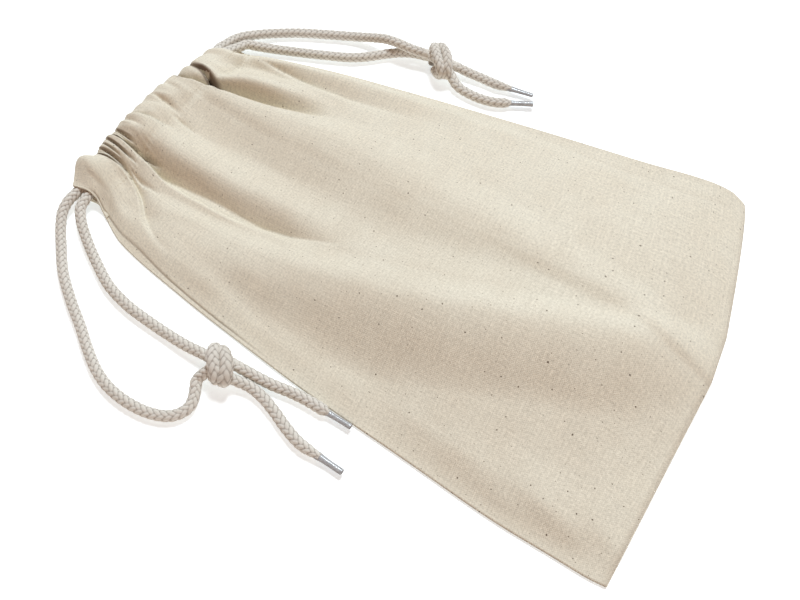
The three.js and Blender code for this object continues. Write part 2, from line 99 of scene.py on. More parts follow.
def deselect_all() -> None:
    """Leave no object selected or in edit mode."""
    if bpy.context.object and bpy.context.object.mode != "OBJECT":
        bpy.ops.object.mode_set(mode="OBJECT")
    bpy.ops.object.select_all(action="DESELECT")


def apply_modifier(piece: Piece, kind: str, **settings: object) -> None:
    """Shape a piece by a modifier and keep the result as its mesh.

    Args:
        piece: The piece, left selected and active.
        kind: The modifier's type.
        settings: The modifier's own settings.
    """
    deselect_all()
    piece.select_set(True)
    bpy.context.view_layer.objects.active = piece
    modifier = piece.modifiers.new(kind.lower(), kind)
    for name, value in settings.items():
        setattr(modifier, name, value)
    bpy.ops.object.modifier_apply(modifier=modifier.name)


def dress_piece(piece: Piece, finish: bpy.types.Material, node: str | None = None) -> None:
    """Args:
        piece: The piece.
        finish: Its only material.
        node: The node that it stands for, if any.
    """
    piece.data.materials.clear()
    piece.data.materials.append(finish)
    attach(piece, BODY)
    if node:
        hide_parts(node)


class Track:
    """Smooth line through the rows of a table."""

    def __init__(self, places: Sequence[float], values: Sequence[float]) -> None:
        """Sort the rows and find the slope at each.

        Args:
            places: Where each row stands, in any order.
            values: What the line measures there.
        """
        order = np.argsort(places)
        self.places = np.asarray(places, float)[order]
        self.values = np.asarray(values, float)[order]
        rows = np.arange(len(order))
        before = np.maximum(rows - 1, 0)
        after = np.minimum(rows + 1, len(order) - 1)
        self.slopes = (self.values[after] - self.values[before]) / (self.places[after] - self.places[before])

    def at(self, place: Array) -> Array:
        """Read the line, held at its end rows.

        Args:
            place: Where to read it.

        Returns:
            The smooth value at each place.
        """
        t = np.clip(place, self.places[0], self.places[-1])
        k = np.clip(np.searchsorted(self.places, t, side="right") - 1, 0, len(self.places) - 2)
        run = self.places[k + 1] - self.places[k]
        u = (t - self.places[k]) / run
        start = self.values[k] + (2 * self.values[k] + self.slopes[k] * run) * u
        end = self.values[k + 1] + (2 * self.values[k + 1] - self.slopes[k + 1] * run) * (1 - u)
        return start * (1 - u) ** 2 + end * u**2


@dataclass
class MeshParts:
    """Vertices, faces and surface coordinates of a mesh in the making."""

    points: list[Array] = field(default_factory=list)
    coords: list[Array] = field(default_factory=list)
    crowns: list[Array] = field(default_factory=list)
    faces: list[tuple[int, ...]] = field(default_factory=list)
    count: int = 0

    def add_points(self, points: Array, coords: Array, crowns: Array | None = None) -> Array:
        """Add vertices.

        Args:
            points: Their places in metres, any shape that ends in 3.
            coords: Their surface coordinates in metres, of the same shape but ending in 2.
            crowns: How far out each stands, from 0 between yarns or in a crease to 1. The finish paints shade
                where it is low.

        Returns:
            Their indices, in the shape of the points.
        """
        flat = points.reshape(-1, 3)
        self.points.append(flat)
        self.coords.append(coords.reshape(-1, 2))
        self.crowns.append(np.ones(len(flat)) if crowns is None else crowns.reshape(-1))
        start = self.count
        self.count += len(flat)
        return np.arange(start, self.count).reshape(points.shape[:-1])

    def add_face(self, corners: Sequence[int]) -> None:
        """Add one face of any number of corners."""
        self.faces.append(tuple(int(corner) for corner in corners))

    def add_grid(self, index: Array, flip: bool = False) -> None:
        """Add the faces of a grid of vertices.

        Args:
            index: Vertex indices, row by row.
            flip: Whether the faces look the other way.
        """
        a, b, c, d = index[:-1, :-1], index[:-1, 1:], index[1:, 1:], index[1:, :-1]
        quads = np.stack([a, d, c, b] if flip else [a, b, c, d], -1).reshape(-1, 4)
        self.faces.extend(tuple(quad) for quad in quads.tolist())

    def make(self, name: str) -> Piece:
        """Make the object, smooth shaded, with its UV map and its crown attribute, which marks where shade is
        painted.

        Args:
            name: The piece's name.

        Returns:
            The new object, at the origin.
        """
        mesh = bpy.data.meshes.new(name)
        mesh.from_pydata(np.concatenate(self.points).tolist(), [], self.faces)
        corners = np.empty(len(mesh.loops), dtype=np.int64)
        mesh.loops.foreach_get("vertex_index", corners)
        layer = mesh.uv_layers.new(name="cloth_grain")
        layer.data.foreach_set("uv", np.concatenate(self.coords)[corners].astype(np.float32).ravel())
        crown = mesh.attributes.new("crown", "FLOAT", "POINT")
        crown.data.foreach_set("value", np.concatenate(self.crowns).astype(np.float32))
        mesh.polygons.foreach_set("use_smooth", np.ones(len(mesh.polygons), dtype=bool))
        mesh.update()
        piece = bpy.data.objects.new(name, mesh)
        bpy.context.collection.objects.link(piece)
        log.info("%s: %d faces", name, len(mesh.polygons))
        return piece


# Finishes


class NodeGraph:
    """Short way to place and link shader nodes. An input is a value or the socket that feeds it."""

    def __init__(self, tree: bpy.types.NodeTree) -> None:
        """Hold the tree to work in."""
        self.tree = tree

    def feed(self, node: bpy.types.Node, inputs: Inputs) -> None:
        """Set or link inputs of a node.

        Args:
            node: The node.
            inputs: Socket name or number to its input.
        """
        for name, value in inputs.items():
            if isinstance(value, Socket):
                self.tree.links.new(value, node.inputs[name])
            else:
                node.inputs[name].default_value = value

    def add(self, kind: str, inputs: Inputs, **settings: object) -> bpy.types.bpy_prop_collection:
        """Place a node.

        Args:
            kind: The node's type name.
            inputs: Socket name or number to its input.
            settings: The node's own settings.

        Returns:
            The new node's outputs.
        """
        node = self.tree.nodes.new(kind)
        for name, value in settings.items():
            setattr(node, name, value)
        self.feed(node, inputs)
        return node.outputs

    def math(self, operation: str, *values: object) -> Socket:
        """Place a Math node and give its result."""
        return self.add("ShaderNodeMath", dict(enumerate(values)), operation=operation)[0]

    def vector(self, operation: str, *values: object) -> Socket:
        """Place a Vector Math node and give its result."""
        return self.add("ShaderNodeVectorMath", dict(enumerate(values)), operation=operation)[0]

    def spread(self, value: Socket, low: float, high: float, new_low: float, new_high: float) -> Socket:
        """Map a value from one range to another, held at the ends."""
        ranges = {"Value": value, "From Min": low, "From Max": high, "To Min": new_low, "To Max": new_high}
        return self.add("ShaderNodeMapRange", ranges)["Result"]

    def blend(self, share: object, first: object, second: object, mode: str = "MIX") -> Socket:
        """Mix two colours by a share."""
        inputs = {0: share, 6: first, 7: second}
        return self.add("ShaderNodeMix", inputs, data_type="RGBA", blend_type=mode)[2]

    def shade(self, colour: Socket, value: Socket) -> Socket:
        """Multiply a colour by a value."""
        grey = self.add("ShaderNodeCombineColor", {"Red": value, "Green": value, "Blue": value})["Color"]
        return self.blend(1.0, colour, grey, "MULTIPLY")

    def noise(self, vector: Socket, scale: object, detail: float = 2.0, rough: float = 0.5) -> Socket:
        """Place a Noise Texture and give its value."""
        inputs = {"Vector": vector, "Scale": scale, "Detail": detail, "Roughness": rough}
        return self.add("ShaderNodeTexNoise", inputs)["Fac"]

    def relief(self, height: Socket, strength: float, depth: float) -> Socket:
        """Place a Bump node and give its normal."""
        inputs = {"Strength": strength, "Distance": depth, "Height": height}
        return self.add("ShaderNodeBump", inputs)["Normal"]

    def group(self, tree: bpy.types.NodeTree, inputs: Inputs) -> bpy.types.bpy_prop_collection:
        """Place a shared group and give its outputs."""
        return self.add("ShaderNodeGroup", inputs, node_tree=tree)

    def grain(self) -> Socket:
        """Give the piece's own surface coordinates, in metres."""
        return self.add("ShaderNodeUVMap", {}, uv_map="cloth_grain")["UV"]

    def crown(self) -> Socket:
        """Give how far out the surface stands, 0 in a crease or between yarns, where the finish paints shade.
        """
        return self.add("ShaderNodeAttribute", {}, attribute_name="crown")["Fac"]

    def place(self) -> Socket:
        """Give Object coordinates."""
        return self.add("ShaderNodeTexCoord", {})["Object"]


class ShaderGroups:
    """Node groups that several finishes share. Each takes a Vector and numbers, and puts out numbers."""

    FIBRE_TONE_PER_METRE = 34.0
    RIM_PER_METRE = 900.0
    RIM_SHIFT = (0.0009, 0.0009, 0.0)
    FLECK_SIZE: Spread = (0.0, 1.0, 0.034, 0.066)
    FLECK_SIZE_POWER = 2.2
    FLECK_RIM: Spread = (0.0, 0.02, 0.0, 1.0)
    THREAD_DRIFT_PER_METRE = 240.0
    THREAD_DRIFT = 1.2
    SLUBS = ((1500.0, 45.0, 1.0), (45.0, 1500.0, 1.0))

    @staticmethod
    def _give(name: str, values: Sequence[str], fill: Callable[..., Inputs]) -> bpy.types.NodeTree:
        """Give a group, made at its first use.

        Args:
            name: The group's name.
            values: Names of its number inputs.
            fill: Places its nodes, given a graph and the inputs' sockets, and names its outputs' sockets.

        Returns:
            The group.
        """
        if name in bpy.data.node_groups:
            return bpy.data.node_groups[name]
        tree = bpy.data.node_groups.new(name, "ShaderNodeTree")
        tree.interface.new_socket("Vector", in_out="INPUT", socket_type="NodeSocketVector")
        for value in values:
            tree.interface.new_socket(value, in_out="INPUT", socket_type="NodeSocketFloat")
        graph = NodeGraph(tree)
        results = fill(graph, graph.add("NodeGroupInput", {}))
        for result in results:
            tree.interface.new_socket(result, in_out="OUTPUT", socket_type="NodeSocketFloat")
        graph.add("NodeGroupOutput", results)
        return tree

    @classmethod
    def fibre(cls) -> bpy.types.NodeTree:
        """Give the loose cotton fibre group.

        Returns:
            A group that puts out a fine Height and a slow Tone, both about 0.5.
        """
        def fill(graph: NodeGraph, given: Inputs) -> Inputs:
            """Place a fine and a slow noise."""
            return {
                "Height": graph.noise(given["Vector"], given["Per metre"], 3.0, 0.65),
                "Tone": graph.noise(given["Vector"], cls.FIBRE_TONE_PER_METRE, 3.0, 0.6)}

        return cls._give("cotton_fibre", ("Per metre",), fill)

    @classmethod
    def flecks(cls) -> bpy.types.NodeTree:
        """Give the seed fleck group.

        Returns:
            A group that puts out a Mask, 1 on a fleck.
        """
        def fill(graph: NodeGraph, given: Inputs) -> Inputs:
            """Keep a share of uneven spots, one in each cell.

            Args:
                graph: The group's graph.
                given: Its inputs' sockets by name.

            Returns:
                Its outputs' sockets by name.
            """
            rim = {"Vector": given["Vector"], "Scale": cls.RIM_PER_METRE, "Detail": 1.0}
            bent = graph.add("ShaderNodeTexNoise", rim)["Color"]
            place = graph.vector("ADD", given["Vector"], graph.vector("MULTIPLY", bent, cls.RIM_SHIFT))
            cells = graph.add("ShaderNodeTexVoronoi", {"Vector": place, "Scale": given["Per metre"]},
                              voronoi_dimensions="2D")
            chance = graph.add("ShaderNodeSeparateColor", {"Color": cells["Color"]})
            size = graph.spread(graph.math("POWER", chance["Red"], cls.FLECK_SIZE_POWER), *cls.FLECK_SIZE)
            spot = graph.spread(graph.math("SUBTRACT", size, cells["Distance"]), *cls.FLECK_RIM)
            kept = graph.math("LESS_THAN", chance["Green"], given["Share"])
            return {"Mask": graph.math("MULTIPLY", spot, kept)}

        return cls._give("seed_flecks", ("Per metre", "Share"), fill)

    @classmethod
    def weave(cls) -> bpy.types.NodeTree:
        """Give the plain weave group.

        Returns:
            A group that puts out the weave's Height and the Slub of its uneven threads, both about 0.5.
        """
        def fill(graph: NodeGraph, given: Inputs) -> Inputs:
            """Cross two waves that drift, and lay thick and thin threads both ways.

            Args:
                graph: The group's graph.
                given: Its inputs' sockets by name.

            Returns:
                Its outputs' sockets by name.
            """
            turn = graph.math("MULTIPLY", given["Per metre"], math.pi)
            wobble = graph.noise(given["Vector"], cls.THREAD_DRIFT_PER_METRE, 1.0)
            drift = graph.math("MULTIPLY", wobble, cls.THREAD_DRIFT)
            axes = graph.add("ShaderNodeSeparateXYZ", {0: given["Vector"]})
            waves = [graph.math("MULTIPLY_ADD", axes[axis], turn, drift) for axis in "XY"]
            threads = [graph.math("SINE", wave) for wave in waves]
            slubs = [graph.noise(graph.vector("MULTIPLY", given["Vector"], slub), 1.0) for slub in cls.SLUBS]
            return {
                "Height": graph.spread(graph.math("MULTIPLY", *threads), -1.0, 1.0, 0.0, 1.0),
                "Slub": graph.math("MULTIPLY", graph.math("ADD", *slubs), 0.5)}

        return cls._give("plain_weave", ("Per metre",), fill)


def new_material(name: str) -> tuple[bpy.types.Material, NodeGraph, bpy.types.Node]:
    """Make an empty node material.

    Args:
        name: The material's name.

    Returns:
        The material, a graph over its tree and its Principled shader.
    """
    material = bpy.data.materials.new(name)
    material.use_nodes = True
    graph = NodeGraph(material.node_tree)
    return material, graph, material.node_tree.nodes["Principled BSDF"]


@dataclass(frozen=True)
class UnbleachedCotton:
    """Plain weave cotton as it comes off the loom. Seeds are rows of cells per metre, share and strength."""

    cream: Colour = (0.790, 0.735, 0.610, 1.0)
    warm: Colour = (0.735, 0.655, 0.525, 1.0)
    seed: Colour = (0.085, 0.050, 0.028, 1.0)
    # Painted shade: dark brown blended in where the crown attribute is low, in tight creases and pleats, the
    # near seam's groove and along the sewn sides
    crease: Colour = (0.130, 0.078, 0.050, 1.0)
    threads_per_metre: float = 1700.0
    fibres_per_metre: float = 2600.0
    mottle_per_metre: float = 780.0
    seeds: tuple[Point, ...] = ((130.0, 0.42, 0.85), (260.0, 0.6, 0.6))
    tone: Spread = (0.35, 0.68, 0.0, 0.42)
    slub: Spread = (0.3, 0.7, 0.88, 1.08)
    crossing: Spread = (0.0, 1.0, 0.93, 1.03)
    mottle: Spread = (0.3, 0.7, 0.84, 1.13)
    crease_shading: Spread = (0.0, 1.0, 0.85, 0.0)
    fibre_lift: float = 0.6
    slub_lift: float = 1.4
    weave_strength: float = 0.55
    weave_depth: float = 0.00010
    roughness: float = 0.92
    specular: float = 0.25
    sheen: float = 0.12

    def material(self) -> bpy.types.Material:
        """Make the finish.

        Returns:
            A material over the piece's own UV map and crown attribute.
        """
        material, graph, shader = new_material("unbleached_cotton")
        grain = graph.grain()
        weave = graph.group(ShaderGroups.weave(), {"Vector": grain, "Per metre": self.threads_per_metre})
        fibre = graph.group(ShaderGroups.fibre(), {"Vector": grain, "Per metre": self.fibres_per_metre})
        clouds = graph.group(ShaderGroups.fibre(), {"Vector": grain, "Per metre": self.mottle_per_metre})
        threads = graph.spread(weave["Slub"], *self.slub)
        crossings = graph.spread(weave["Height"], *self.crossing)
        woven = graph.math("MULTIPLY", graph.math("MULTIPLY", threads, crossings),
                           graph.spread(clouds["Height"], *self.mottle))
        base = graph.blend(graph.spread(fibre["Tone"], *self.tone), self.cream, self.warm)
        colour = graph.shade(base, woven)
        for cells, share, strength in self.seeds:
            flecks = graph.group(ShaderGroups.flecks(), {"Vector": grain, "Per metre": cells, "Share": share})
            colour = graph.blend(graph.math("MULTIPLY", flecks["Mask"], strength), colour, self.seed)
        # Painted shade: blend towards the crease colour in tight creases, pleats, the near seam and along the
        # sewn sides
        colour = graph.blend(graph.spread(graph.crown(), *self.crease_shading), colour, self.crease)
        height = graph.math("MULTIPLY_ADD", fibre["Height"], self.fibre_lift, weave["Height"])
        height = graph.math("MULTIPLY_ADD", weave["Slub"], self.slub_lift, height)
        graph.feed(shader, {
            "Base Color": colour, "Normal": graph.relief(height, self.weave_strength, self.weave_depth),
            "Roughness": self.roughness, "Specular IOR Level": self.specular, "Sheen Weight": self.sheen})
        return material


@dataclass(frozen=True)
class BraidedCotton:
    """Soft off-white cotton yarn, plaited."""

    yarn: Colour = (0.800, 0.765, 0.700, 1.0)
    worn: Colour = (0.680, 0.635, 0.565, 1.0)
    # Painted shade between the yarns; the same colour also makes the seed flecks
    fleck_and_gap_shade: Colour = (0.170, 0.125, 0.092, 1.0)
    fibres_per_metre: float = 3400.0
    flecks_per_metre: float = 190.0
    fleck_share: float = 0.16
    fleck_strength: float = 0.6
    tone: Spread = (0.35, 0.65, 0.0, 0.7)
    hairs: Spread = (0.3, 0.7, 0.88, 1.06)
    between: Spread = (0.05, 0.66, 1.0, 0.0)
    gap_shade_strength: float = 0.92
    fibre_strength: float = 0.5
    fibre_depth: float = 0.00014
    roughness: float = 0.95
    specular: float = 0.2
    sheen: float = 0.15

    def material(self) -> bpy.types.Material:
        """Make the finish.

        Returns:
            A material over the piece's own UV map and crown attribute.
        """
        material, graph, shader = new_material("braided_cotton")
        grain = graph.grain()
        fibre = graph.group(ShaderGroups.fibre(), {"Vector": grain, "Per metre": self.fibres_per_metre})
        flecks = graph.group(ShaderGroups.flecks(), {
            "Vector": grain, "Per metre": self.flecks_per_metre, "Share": self.fleck_share})
        base = graph.blend(graph.spread(fibre["Tone"], *self.tone), self.yarn, self.worn)
        haired = graph.shade(base, graph.spread(fibre["Height"], *self.hairs))
        # Painted shade between the yarns: blend towards the dark gap colour where the crown is low
        deep = graph.math("MULTIPLY", graph.spread(graph.crown(), *self.between), self.gap_shade_strength)
        plaited = graph.blend(deep, haired, self.fleck_and_gap_shade)
        colour = graph.blend(graph.math("MULTIPLY", flecks["Mask"], self.fleck_strength), plaited, self.fleck_and_gap_shade)
        graph.feed(shader, {
            "Base Color": colour,
            "Normal": graph.relief(fibre["Height"], self.fibre_strength, self.fibre_depth),
            "Roughness": self.roughness, "Specular IOR Level": self.specular, "Sheen Weight": self.sheen})
        return material


@dataclass(frozen=True)
class CrimpedFilm:
    """Grey plastic film, shrunk and crimped on a cord's end."""

    grey: Colour = (0.330, 0.332, 0.342, 1.0)
    pale: Colour = (0.560, 0.560, 0.565, 1.0)
    streaks_per_metre: float = 900.0
    clouds_per_metre: float = 260.0
    streaking: Spread = (0.35, 0.7, 0.0, 0.75)
    roughness: Spread = (0.3, 0.7, 0.22, 0.42)
    crimp_strength: float = 0.35
    crimp_depth: float = 0.0002
    coat: float = 0.3

    def material(self) -> bpy.types.Material:
        """Make the finish.

        Returns:
            A material over Object coordinates.
        """
        material, graph, shader = new_material("crimped_film")
        place = graph.place()
        streaks = graph.noise(place, self.streaks_per_metre, 3.0, 0.6)
        clouds = graph.noise(place, self.clouds_per_metre)
        graph.feed(shader, {
            "Base Color": graph.blend(graph.spread(streaks, *self.streaking), self.grey, self.pale),
            "Normal": graph.relief(streaks, self.crimp_strength, self.crimp_depth),
            "Roughness": graph.spread(clouds, *self.roughness), "Coat Weight": self.coat})
        return material


@dataclass(frozen=True)
class SewingThread:
    """Matt cotton thread of the hem."""

    light: Colour = (0.800, 0.745, 0.620, 1.0)
    dark: Colour = (0.600, 0.530, 0.410, 1.0)
    fibres_per_metre: float = 5200.0
    twist: Spread = (0.35, 0.65, 0.0, 1.0)
    fibre_strength: float = 0.5
    fibre_depth: float = 0.0001
    roughness: float = 0.8

    def material(self) -> bpy.types.Material:
        """Make the finish.

        Returns:
            A material over Object coordinates.
        """
        material, graph, shader = new_material("sewing_thread")
        fibre = graph.group(ShaderGroups.fibre(), {
            "Vector": graph.place(), "Per metre": self.fibres_per_metre})["Height"]
        graph.feed(shader, {
            "Base Color": graph.blend(graph.spread(fibre, *self.twist), self.light, self.dark),
            "Normal": graph.relief(fibre, self.fibre_strength, self.fibre_depth),
            "Roughness": self.roughness})
        return material


# Cloth


@dataclass(frozen=True)
class Bead:
    """Round rise beside a line: its height, its distance from the line and its half width."""

    rise: float
    place: float
    width: float

    def at(self, distance: Array) -> Array:
        """Give the rise at each distance from the line."""
        return self.rise * np.exp(-(((distance - self.place) / self.width) ** 2))


@dataclass(frozen=True)
class Ripple:
    """Uneven wave: its height, its length over two pi, and the swing and length of its wobble."""

    rise: float
    length: float
    swing: float
    wobble: float

    def at(self, run: Array, across: Array, shift: Array | float = 0.0) -> Array:
        """Give the wave.

        Args:
            run: Places along the wave.
            across: Places along its wobble.
            shift: How far it is shifted, in radians.

        Returns:
            The rise at each place.
        """
        return self.rise * np.sin(run / self.length + self.swing * np.sin(across / self.wobble) + shift)


@dataclass(frozen=True)
class CreaseShade:
    """Painted shade in a tight fold: reach, fade and middle, and the depths where it starts and is full."""

    reach: float
    fade: float
    middle: float
    shallow: float
    deep: float

    def at(self, offset: Array, depth: Array | float) -> Array:
        """Give the shade.

        Args:
            offset: Distance from the fold's line as a share of its width.
            depth: Depth of the fold.

        Returns:
            1 in the bottom of a deep fold and 0 outside it.
        """
        across = np.clip(self.reach - self.fade * np.abs(offset - self.middle), 0, 1)
        return across * np.clip((depth - self.shallow) / (self.deep - self.shallow), 0, 1)


TUCK_SHADE = CreaseShade(reach=2.3, fade=1.5, middle=-0.2, shallow=2.4, deep=8.4)
PLEAT_SHADE = CreaseShade(reach=1.8, fade=2.0, middle=0.35, shallow=2.5, deep=4.5)


class FoldShape(Enum):
    """Cross section of a fold."""

    BELL = "bell"
    DOME = "dome"
    CREASE = "crease"
    FLANK = "flank"

    def share(self, offset: Array) -> Array:
        """Give the share of the fold's rise.

        Args:
            offset: Distance from the fold's line as a share of its width, negative on the near side.

        Returns:
            The share, 1 on the line and 0 at the fold's edges.
        """
        q = np.clip(np.abs(offset), 0.0, 1.0)
        bell = (1 - q**2) ** 2
        if self is FoldShape.CREASE:
            return (1 - q) ** 2
        if self is FoldShape.DOME:
            return 1 - q**2
        if self is FoldShape.FLANK:
            return np.where(offset > 0, 1 - q**1.6, bell)
        return bell


@dataclass(frozen=True)
class Fold:
    """One fold of the front: stations of x, y, rise, near width and far width, and the fade past its ends."""

    shape: FoldShape
    stations: tuple[tuple[float, float, float, float, float], ...]
    fade: float = 14.0

    def height(self, x: Array, y: Array) -> Array:
        """Give the height that the fold adds at each place."""
        offset, rise = self._section(x, y)
        return rise * self.shape.share(offset)

    def line(self, x: Array, y: Array) -> Array:
        """Give the painted shade in the bottom of the fold at each place."""
        offset, rise = self._section(x, y)
        return TUCK_SHADE.at(offset, -rise)

    def _section(self, x: Array, y: Array) -> tuple[Array, Array]:
        """Find places in the fold's own section.

        Args:
            x: Places across the bag.
            y: Places along it.

        Returns:
            The offset from the fold's line as a share of its width, and the rise of the line there.
        """
        columns = list(zip(*self.stations))
        line, rise, near, far = (Track(columns[1], columns[i]).at(y) for i in (0, 2, 3, 4))
        offset = x - line
        width = np.where(offset < 0, near, far)
        low, high = min(columns[1]), max(columns[1])
        ends = ease(low - self.fade, low, y) * (1 - ease(high, high + self.fade, y))
        return offset / width, rise * ends


@dataclass(frozen=True)
class Pleat:
    """One pleat of the hem: place on the mouth edge, drift inwards, depth, half widths and length."""

    x: float
    drift: float
    depth: float
    near: float
    far: float
    reach: float
    sharpness: float = 1.5
    spread: float = 0.35

    def cut(self, x: Array, inside: Array) -> Array:
        """Give the depth of the pleat at each place."""
        offset, share = self._section(x, inside)
        return self.depth * np.clip(1 - np.abs(offset), 0, None) ** self.sharpness * share

    def line(self, x: Array, inside: Array) -> Array:
        """Give the painted shade in the bottom of the pleat at each place."""
        offset, share = self._section(x, inside)
        return PLEAT_SHADE.at(offset, self.depth) * share

    def _section(self, x: Array, inside: Array) -> tuple[Array, Array]:
        """Find places in the pleat's own section.

        Args:
            x: Places across the bag.
            inside: Distance from the mouth edge.

        Returns:
            The offset from the pleat's line as a share of its width, and the share of its depth there.
        """
        u = np.clip(inside / self.reach, 0.0, 1.0)
        offset = x - self.x - self.drift * u
        width = np.where(offset < 0, self.near, self.far) / (1 - self.spread * u)
        return offset / width, 1 - u**2


FOLDS: dict[str, Fold] = {
    "swell": Fold(FoldShape.FLANK, (
        (31.5, 172, 9.2, 63, 51), (27, 123, 13, 56, 68), (16, 58, 15.4, 59, 92), (6, -2, 17.4, 75, 104.5),
        (-8, -62, 18.8, 90, 109.5), (-9, -117, 17, 85, 109), (-6, -152, 11.4, 67, 108),
        (0, -174, 7.2, 56, 104))),
    "gathers": Fold(FoldShape.DOME, (
        (18, 172, 10.5, 64, 64), (14, 148, 8.5, 62, 72), (5, 120, 3, 54, 72), (0, 94, 0, 50, 70))),
    "ridge": Fold(FoldShape.BELL, (
        (-29, 123, 2, 18, 9), (-33, 88, 5, 20, 11.5), (-36, 58, 8.2, 24, 16), (-38.5, 26, 10.9, 33, 21),
        (-36, -17, 9.7, 37.5, 23), (-30, -54, 9.4, 36.5, 22.5), (-20.5, -94, 9.5, 37.5, 23),
        (-8.5, -132, 7.4, 37, 24), (2, -162, 4.6, 30, 24))),
    "trough": Fold(FoldShape.CREASE, (
        (-3.5, 160, -3, 2.5, 8), (-6.5, 148, -6, 2.5, 9), (-9, 138, -7.4, 2.5, 11),
        (-12.5, 128, -8.4, 2.8, 13), (-14.5, 115, -8.6, 3, 14), (-16, 98, -8.4, 3.2, 15),
        (-17.5, 80, -7.8, 3.8, 15.5), (-17.5, 63, -6.6, 4.8, 16), (-17, 42, -3.6, 6.5, 15),
        (-13.5, 18, 0, 9, 12))),
    "brow": Fold(FoldShape.BELL, (
        (7, 152, 1, 12, 12), (3, 125, 3, 12, 15), (1, 95, 3.2, 13, 17), (-2, 65, 2.8, 13, 18),
        (-5, 40, 1.6, 13, 18), (-7, 16, 0, 13, 18))),
    "valley": Fold(FoldShape.BELL, (
        (25, 158, -2.2, 22, 16.5), (18.5, 116, -6.4, 24.5, 22), (9, 68, -7.5, 25, 26),
        (3, -2, -5.5, 24, 22), (5.5, -52, -2.9, 18, 14), (8, -95, -0.7, 13, 8), (12.5, -128, 0, 10, 7))),
    "crown": Fold(FoldShape.BELL, (
        (46, 148, 2.6, 7, 8), (44.5, 108, 3.4, 12, 8), (45, 63, 3.6, 18.5, 16), (37, -2, 3, 17.5, 21.5),
        (29, -47, 2.3, 14, 20), (20.5, -87, 2.2, 13, 18.5), (12.5, -122, 2.2, 9, 17),
        (3.5, -152, 2.2, 7, 17), (-2.5, -174, 1.8, 6, 17))),
    "gully": Fold(FoldShape.CREASE, (
        (45, 152, -5, 2.6, 8), (47.4, 131, -10.5, 2.6, 9), (48.8, 118, -11.5, 2.6, 10.5),
        (50.2, 106, -11, 2.8, 12), (52.3, 93, -9, 3.2, 13), (55.5, 78, -5.4, 4.2, 14),
        (58.5, 64, -1.6, 6, 15), (60, 50, 0, 6, 13))),
    "tuck": Fold(FoldShape.BELL, (
        (52.5, 133, 2.5, 6, 8), (56, 125, 5, 7, 10), (59, 118, 6.2, 8, 12), (61, 109, 6.2, 8.5, 13),
        (63.5, 95, 4.8, 9, 14), (66, 76, 2, 9, 14), (67, 62, 0, 9, 14))),
    "crest": Fold(FoldShape.BELL, (
        (78, 148, 4, 18.5, 8), (82.5, 119, 5.4, 8, 12.5), (79, 82, 1.6, 9, 24), (72, 43, 0, 12, 26))),
    "groove": Fold(FoldShape.CREASE, (
        (81, 124, 0, 2.5, 4), (80.2, 115, -1.8, 2.5, 5), (79, 104, -2.8, 2.6, 7), (77, 85, -3, 3, 10),
        (76.5, 69, -2.2, 4, 12), (78, 45, -1, 6, 12), (80, 20, 0, 6, 12))),
    "far_roll": Fold(FoldShape.BELL, (
        (86, 128, 0.4, 8.5, 8), (87, 108, 3.4, 9.5, 9), (88.5, 84, 5, 12.5, 9.5), (91, 58, 4.8, 15, 9.5),
        (94.5, 28, 3, 16.5, 8.5), (99, -4, 1.2, 17, 8.5), (103, -40, 0, 16, 8))),
    "bend": Fold(FoldShape.CREASE, (
        (-15.5, 160, -1.8, 2, 4), (-17, 150, -3.6, 2, 6), (-21, 142, -4, 2.2, 9), (-28, 133, -3.6, 2.5, 13),
        (-37, 125, -2.6, 3, 15), (-45.5, 114, -1.4, 4, 15), (-54, 96, 0, 5, 13))),
    "roll": Fold(FoldShape.BELL, (
        (-28.5, 172, 4.4, 16, 13), (-37, 153, 5.8, 14, 12), (-49, 134, 5.8, 11, 14),
        (-55.5, 110, 5, 11.5, 23), (-58.5, 86, 4.2, 13.5, 28), (-62, 41, 2.2, 18, 34),
        (-82, -12, 0.6, 15, 34), (-86, -92, 2.8, 26, 40), (-80, -142, 4.2, 36, 42),
        (-80, -164, 3.4, 34, 42))),
}

